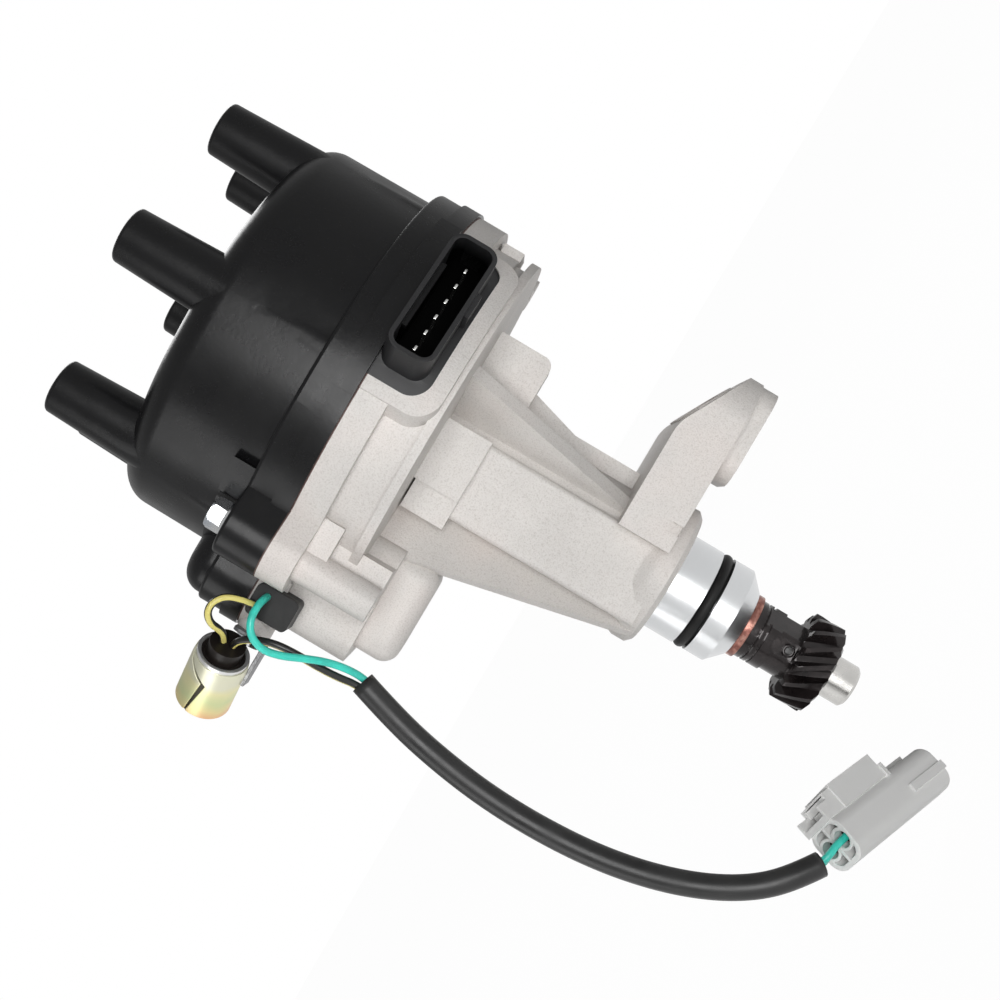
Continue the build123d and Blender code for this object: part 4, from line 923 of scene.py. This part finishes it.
def seam_at(sizes, along):
    """Place of the clamp's seam round the can, at a share of the clamp's length."""
    point = CLAMP_POINT / CLAMP_ALONG
    if along < point:
        return sizes.seam_rear + (sizes.seam_point - sizes.seam_rear) * along / point
    fall = (along - point) / (1 - point)
    return sizes.seam_point + (sizes.seam_front - sizes.seam_point) * fall


def rolled_clamp(sizes):
    """Sheet rolled round the can, its two ends meeting along a V-shaped seam."""
    rear = Vector(sizes.rear)
    axis = Vector(sizes.front) - rear
    low = sizes.rear_margin
    high = axis.length - sizes.front_margin
    out = axis.normalized()
    side = (Vector((0, 0, 1)) - out * out.z).normalized()
    frame_of_can = Matrix((side, out.cross(side), out)).transposed().to_4x4()
    frame_of_can.translation = rear
    build = bmesh.new()
    bmesh.ops.create_grid(build, x_segments=CLAMP_ROUND, y_segments=CLAMP_ALONG, size=1.0)
    for corner in build.verts:
        turn = (corner.co.x + 1) / 2
        along = (corner.co.y + 1) / 2
        gap = sizes.rear_gap + (sizes.front_gap - sizes.rear_gap) * along
        angle = seam_at(sizes, along) + gap / 2 + turn * (2 * math.pi - gap)
        rolled = sizes.roll_in * max(0.0, 1 - (1 - along) / ROLL_SHARE)
        radius = sizes.inside + sizes.wall - rolled
        corner.co = (math.cos(angle) * radius, math.sin(angle) * radius,
                     low + along * (high - low))
    bmesh.ops.transform(build, matrix=frame_of_can, verts=build.verts)
    bmesh.ops.recalc_face_normals(build, faces=build.faces)
    middle = rear + axis / 2
    face = build.faces[:][0]
    if face.normal.dot(face.calc_center_median() - middle) < 0:
        bmesh.ops.reverse_faces(build, faces=build.faces)
    clamp = piece_from(build, "condenser_clamp", "clamp")
    wall = clamp.modifiers.new("wall", "SOLIDIFY")
    wall.thickness = sizes.wall
    wall.offset = -1
    soften(clamp, sizes.wall * 0.3)
    return clamp


def bent_strap(sizes):
    """Strap under the can, bent up to its screw on the coil chamber."""
    sheet = sizes.strap_sheet
    bend = sizes.strap_bend
    low = sizes.front[2] - sizes.inside - sizes.wall - sheet + sizes.strap_sink
    upright = sizes.strap_place[0] + sheet / 2
    top = sizes.strap_place[2] - sheet / 2
    build = bmesh.new()
    path = [build.verts.new((sizes.front[0] - sizes.strap_reach, 0, low + sheet / 2)),
            build.verts.new((upright - bend, 0, low + sheet / 2)),
            build.verts.new((upright, 0, low + sheet / 2 + bend)),
            build.verts.new((upright, 0, top))]
    for pair in zip(path, path[1:]):
        build.edges.new(pair)
    bmesh.ops.bevel(build, geom=path[1:3], offset=bend / 2, segments=3, profile=0.5,
                    affect="VERTICES", material=-1)
    grown = bmesh.ops.extrude_edge_only(build, edges=build.edges[:])
    far = [v for v in grown["geom"] if isinstance(v, bmesh.types.BMVert)]
    bmesh.ops.translate(build, vec=(0, sizes.strap_width, 0), verts=far)
    bmesh.ops.translate(build, vec=(0, sizes.strap_place[1], 0), verts=build.verts)
    tips = [v for v in build.verts if v.co.z > top - JOIN_DISTANCE]
    bmesh.ops.bevel(build, geom=tips, offset=sizes.strap_corner, segments=5, profile=0.5,
                    affect="VERTICES", material=-1)
    bmesh.ops.recalc_face_normals(build, faces=build.faces)
    strap = piece_from(build, "condenser_strap", "strap")
    wall = strap.modifiers.new("sheet", "SOLIDIFY")
    wall.thickness = sheet
    wall.offset = 0
    soften(strap, sheet * 0.2)
    return strap


def piece_from(build, name, finish_name):
    """Object from a finished bmesh, smooth shaded, with its finish."""
    mesh = bpy.data.meshes.new(name)
    build.to_mesh(mesh)
    build.free()
    mesh.materials.append(finish_named(finish_name))
    mesh.polygons.foreach_set("use_smooth", [True] * len(mesh.polygons))
    return link(bpy.data.objects.new(name, mesh))


def soften(piece, width):
    """Rounds a piece's sharp edges."""
    rounding = piece.modifiers.new("rounding", "BEVEL")
    rounding.width = width
    rounding.segments = 2
    rounding.limit_method = "ANGLE"
    rounding.angle_limit = math.radians(40)
    rounding.harden_normals = True


class DISTRIBUTOR_OT_plug(bpy.types.Operator):
    """Plug at the end of the harness"""

    bl_idname = "distributor.plug"
    bl_label = "Plug"

    def execute(self, context):
        dress(PLUG_SOLIDS)
        return {"FINISHED"}


class DISTRIBUTOR_OT_screws(bpy.types.Operator):
    """Screws of the cap, bearing, rotor and condenser"""

    bl_idname = "distributor.screws"
    bl_label = "Screws"

    def execute(self, context):
        dress(SCREW_SOLIDS)
        return {"FINISHED"}


class DISTRIBUTOR_OT_studio(bpy.types.Operator):
    """Floor, lamps, room light and camera"""

    bl_idname = "distributor.studio"
    bl_label = "Studio"

    def execute(self, context):
        context.scene.view_settings.view_transform = "Standard"
        settings = context.scene.studio_settings
        make_floor(settings)
        make_room(settings.sky, settings.mirrored)
        for lamp in LAMPS:
            make_lamp(*lamp)
        make_camera(settings)
        return {"FINISHED"}


def make_floor(settings):
    """Pale floor under the distributor, seen as white except where a shadow falls."""
    mesh = bpy.data.meshes.new("floor")
    build = bmesh.new()
    bmesh.ops.create_circle(build, cap_ends=True, segments=96, radius=settings.floor_radius,
                            matrix=Matrix.Translation((0, 0, settings.floor_drop)))
    build.to_mesh(mesh)
    build.free()
    floor = link(bpy.data.objects.new("floor", mesh))
    finish, tree, shader = new_finish("floor", (0.86, 0.86, 0.86), 0.7)
    rays = add_node(tree, "LightPath")
    seen = maths(tree, "MAXIMUM", rays.outputs["Is Camera Ray"],
                 rays.outputs["Is Glossy Ray"])
    share = maths(tree, "MULTIPLY", seen, settings.floor_white)
    glow = add_node(tree, "Emission", {"Color": (1, 1, 1, 1), "Strength": 1.0})
    blend = add_node(tree, "MixShader", {0: share, 1: shader.outputs[0], 2: glow.outputs[0]})
    tree.links.new(blend.outputs[0], tree.nodes["Material Output"].inputs["Surface"])
    mesh.materials.append(finish)


def make_room(strength, mirrored):
    """White room: soft light for the object, brighter in its gloss, full white behind it."""
    world = bpy.data.worlds.new("room")
    world.use_nodes = True
    bpy.context.scene.world = world
    tree = world.node_tree
    light = tree.nodes["Background"]
    light.inputs["Color"].default_value = (1, 1, 1, 1)
    rays = add_node(tree, "LightPath")
    gloss = maths(tree, "MULTIPLY", rays.outputs["Is Glossy Ray"], mirrored - strength)
    tree.links.new(maths(tree, "ADD", gloss, strength), light.inputs["Strength"])
    behind = add_node(tree, "Background", {"Color": (1, 1, 1, 1), "Strength": 1.0})
    seen = maths(tree, "MAXIMUM", rays.outputs["Is Camera Ray"],
                 rays.outputs["Is Transmission Ray"])
    blend = add_node(tree, "MixShader", {0: seen, 1: light.outputs[0], 2: behind.outputs[0]})
    tree.links.new(blend.outputs[0], tree.nodes["World Output"].inputs["Surface"])


def make_lamp(name, place, size, energy):
    """Square soft lamp that points at the middle of the distributor."""
    lamp = bpy.data.lights.new(name, "AREA")
    lamp.size = size
    lamp.energy = energy
    holder = link(bpy.data.objects.new(name, lamp))
    holder.location = place
    sight = Vector(LAMP_AIM) - Vector(place)
    holder.rotation_euler = sight.to_track_quat("-Z", "Y").to_euler()


def make_camera(settings):
    """Camera that looks along +Y, rolled as the photograph's."""
    camera = bpy.data.cameras.new("camera")
    camera.lens = settings.lens
    camera.sensor_width = 36.0
    camera.clip_start = 0.01
    holder = link(bpy.data.objects.new("camera", camera))
    holder.location = settings.camera_place
    turn = settings.camera_roll
    right = Vector((math.cos(turn), 0.0, -math.sin(turn)))
    up = Vector((math.sin(turn), 0.0, math.cos(turn)))
    holder.rotation_euler = Matrix((right, up, right.cross(up))).transposed().to_euler()
    bpy.context.scene.camera = holder


OPERATORS = (
    DISTRIBUTOR_OT_harness,
    DISTRIBUTOR_OT_cap,
    DISTRIBUTOR_OT_coil,
    DISTRIBUTOR_OT_housing,
    DISTRIBUTOR_OT_bearing,
    DISTRIBUTOR_OT_sensor,
    DISTRIBUTOR_OT_rotor,
    DISTRIBUTOR_OT_drive,
    DISTRIBUTOR_OT_socket,
    DISTRIBUTOR_OT_condenser,
    DISTRIBUTOR_OT_plug,
    DISTRIBUTOR_OT_screws,
    DISTRIBUTOR_OT_studio,
)
SETTINGS = {
    "finish_settings": FinishSettings,
    "harness_settings": HarnessSettings,
    "edge_settings": EdgeSettings,
    "socket_settings": SocketSettings,
    "clamp_settings": ClampSettings,
    "studio_settings": StudioSettings,
}


class DISTRIBUTOR_PT_panel(bpy.types.Panel):
    """Sizes, colours and steps of the distributor"""

    bl_idname = "DISTRIBUTOR_PT_panel"
    bl_label = "Distributor"
    bl_space_type = "VIEW_3D"
    bl_region_type = "UI"
    bl_category = "Distributor"

    def draw(self, context):
        for name, group in SETTINGS.items():
            settings = getattr(context.scene, name)
            section = self.layout.box()
            for key in group.__annotations__:
                section.prop(settings, key)
        for operator in OPERATORS:
            self.layout.operator(operator.bl_idname)


def register():
    for group in SETTINGS.values():
        bpy.utils.register_class(group)
    for name, group in SETTINGS.items():
        setattr(bpy.types.Scene, name, PointerProperty(type=group))
    for made in (*OPERATORS, DISTRIBUTOR_PT_panel):
        bpy.utils.register_class(made)


def unregister():
    for made in (DISTRIBUTOR_PT_panel, *reversed(OPERATORS)):
        bpy.utils.unregister_class(made)
    for name in SETTINGS:
        delattr(bpy.types.Scene, name)
    for group in SETTINGS.values():
        bpy.utils.unregister_class(group)


def main():
    register()
    for operator in OPERATORS:
        group, step = operator.bl_idname.split(".")
        getattr(getattr(bpy.ops, group), step)()


if __name__ == "__main__":
    main()
